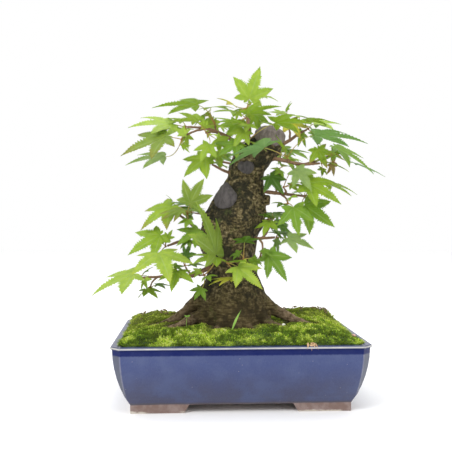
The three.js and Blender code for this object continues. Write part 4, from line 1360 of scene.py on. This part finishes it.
def bladeShape(start, end, widest, thick, bend):
    # A blade is a flat tube along a bent line, widest at a third of its height and pointed at its tip.
    rows = 16
    share = np.linspace(0, 1, rows)
    path = bent(start, (start + end) / 2 + bend, end, rows)
    along = unit(np.gradient(path, axis=0))
    across = unit(np.cross(along, [0.15, 1.0, 0.1]))
    normal = np.cross(across, along)
    width = widest * (0.25 + 0.75 * np.sin(np.pi * np.clip(share * 1.15, 0, 1)) ** 0.8) * (1 - share**3)
    turn = np.linspace(0, 2 * np.pi, 8, endpoint=False)[None, :, None]
    points = path[:, None] + across[:, None] * np.cos(turn) * width[:, None, None]
    points = points + normal[:, None] * np.sin(turn) * thick * (1 - share[:, None, None] ** 4)
    return points.reshape(-1, 3), gridQuads(rows, 8, closed=True), {}


def buildGrass():
    # One blade of grass between the corners of its part's box.
    low, high = (np.array(corner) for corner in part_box("grass_blade"))
    start = np.array([low[0] + 0.6 * mm, (low[1] + high[1]) / 2, low[2] - 1 * mm])
    end = np.array([high[0], (low[1] + high[1]) / 2, high[2]])
    width, thick = grassLook["halfWidth"] * mm, grassLook["halfThick"] * mm
    points, quads, _ = bladeShape(start, end, width, thick, np.array([-1.5, 0, 1.5]) * mm)
    mesh = meshOf("grassBlade", points, quads)
    closeSeams(mesh, 1e-6, True)
    pieceOf("grassBlade", mesh, [bladeFinish()], ["grass_blade"], 60)


buildGrass()


def lumpShape(centre, radii, seed, rows=20, columns=28, rough=0.12):
    # An egg shape by height and turn angles, its radius varied by soft noise.
    tilt = np.linspace(0, np.pi, rows)[:, None]
    turn = np.linspace(0, 2 * np.pi, columns, endpoint=False)[None, :]
    way = np.stack([np.sin(tilt) * np.cos(turn), np.sin(tilt) * np.sin(turn), np.cos(tilt) + 0 * turn], -1)
    noise = softNoise(way.reshape(-1, 3) + 5, 0.7, seed).reshape(rows, columns, 1)
    noise[0], noise[-1] = noise[0].mean(), noise[-1].mean()
    points = np.array(centre) + way * np.array(radii) * mm * (1 + rough * noise)
    return points.reshape(-1, 3), gridQuads(rows, columns, closed=True)[:, ::-1], {}


def stoneFinish(name, first, second):
    # Dry matt patches of two colours.
    paint = Finish(name)
    colour = paint.mix(paint.step(paint.noise(1.5, 4), 0.35, 0.65), first, second)
    return paint.done(paint.skin(colour, 0.75, paint.noise(0.8, 3), 0.2))


def addSmall(name, finish, parts, sharp=60):
    # Shows grids as one small piece that no CAD part stands for.
    points, quads, _ = joined(parts)
    mesh = meshOf(name, points, quads)
    closeSeams(mesh, 1e-6, True)
    return pieceOf(name, mesh, [finish], (), sharp)


smallLook = {
    "pebble": ((0.80, 0.76, 0.68), (0.95, 0.94, 0.90)),
    "pebbleRadii": (2.4, 2.0, 1.8),
    "stone": ((0.55, 0.24, 0.20), (0.72, 0.50, 0.44)),
    "stoneRadii": (3.6, 4.5, 2.6),
    "husk": ((0.30, 0.17, 0.08), (0.62, 0.42, 0.24)),
    "litter": ((0.055, 0.035, 0.02), (0.40, 0.27, 0.15)),
    "flakes": 64,
    "seedlingHeight": 13,
}


def buildStones():
    # A pale pebble in front of the trunk and a pinkish stone at the right rim.
    look, front, right = smallLook, mossLow[1], mossHigh[0]
    spot = onMoss(potMiddle[0] + 57 * mm, front + 62 * mm) + [0, 0, 3.0 * mm]
    pale = stoneFinish("palePebble", *look["pebble"])
    addSmall("palePebble", pale, [lumpShape(spot, look["pebbleRadii"], 3)])
    spot = onMoss(right - 3 * mm, front + 46 * mm) + [0, 0, 0.8 * mm]
    pink = stoneFinish("pinkStone", *look["stone"])
    addSmall("pinkStone", pink, [lumpShape(spot, look["stoneRadii"], 4)])


def buildHusk():
    # Four dry strips that hang over the front rim. Each is given by its shift, its drop and its half-width.
    rim = np.array([potMiddle[0] + 80 * mm, potLow[1] + 1 * mm, potHigh[2]])
    strips = []
    for shift, drop, wide in ((-4, 3.5, 1.6), (0, 5.5, 2.2), (3, 2.5, 1.8), (6, 4.5, 1.2)):
        start = rim + np.array([shift * 0.6, 7, 2.4]) * mm
        end = rim + np.array([shift * 1.3, -1.8, -drop]) * mm
        strips.append(bladeShape(start, end, wide * mm, 0.25 * mm, np.array([0, -3.0, 4.0]) * mm))
    addSmall("dryHusk", stoneFinish("dryHusk", *smallLook["husk"]), strips)


def buildSeedling():
    # A bent stem with three small leaves at its top.
    base = onMoss(trunkLow[0] + 42 * mm, mossLow[1] + 58 * mm)
    bend = base + np.array([-1.0, 0, 6]) * mm
    top = base + np.array([0.5, -0.5, smallLook["seedlingHeight"]]) * mm
    stem = bent(base - [0, 0, 1 * mm], bend, top, 10)
    radii = np.linspace(0.45, 0.3, 10) * mm
    radii[0] = radii[-1] = 0.03 * mm
    parts = [tube(stem, radii, 6)]
    for way in ((4.5, -1.5, 2.5), (-4.0, -1.0, 2.0), (1.0, -3.5, 3.0)):
        tip = stem[-1] + np.array(way) * mm
        parts.append(bladeShape(stem[-1], tip, 1.1 * mm, 0.15 * mm, np.array([0, 0, 1.0]) * mm))
    addSmall("seedling", bladeFinish(), parts)


def buildLitter():
    # Dry flakes at random places: two in three at the back right, the others at the left.
    dice = np.random.default_rng(77)
    flakes = []
    for index in range(smallLook["flakes"]):
        backRight = index % 3 > 0
        x = mossHigh[0] - dice.uniform(8, 88) * mm if backRight else mossLow[0] + dice.uniform(8, 90) * mm
        y = mossHigh[1] - dice.uniform(6, 34 if backRight else 70) * mm
        middle = onMoss(x, y) + [0, 0, dice.uniform(1.5, 3.2) * mm]
        turn, tilt = dice.uniform(0, np.pi), dice.uniform(-0.35, 0.35)
        way = np.array([np.cos(turn), np.sin(turn), tilt]) * dice.uniform(2, 5) * mm
        wide = dice.uniform(0.6, 1.6) * mm
        flakes.append(bladeShape(middle - way, middle + way, wide, 0.2 * mm, np.array([0, 0, 1.2]) * mm))
    addSmall("dryLitter", stoneFinish("dryLitter", *smallLook["litter"]), flakes)


buildStones()
buildHusk()
buildSeedling()
buildLitter()
print("small things built")
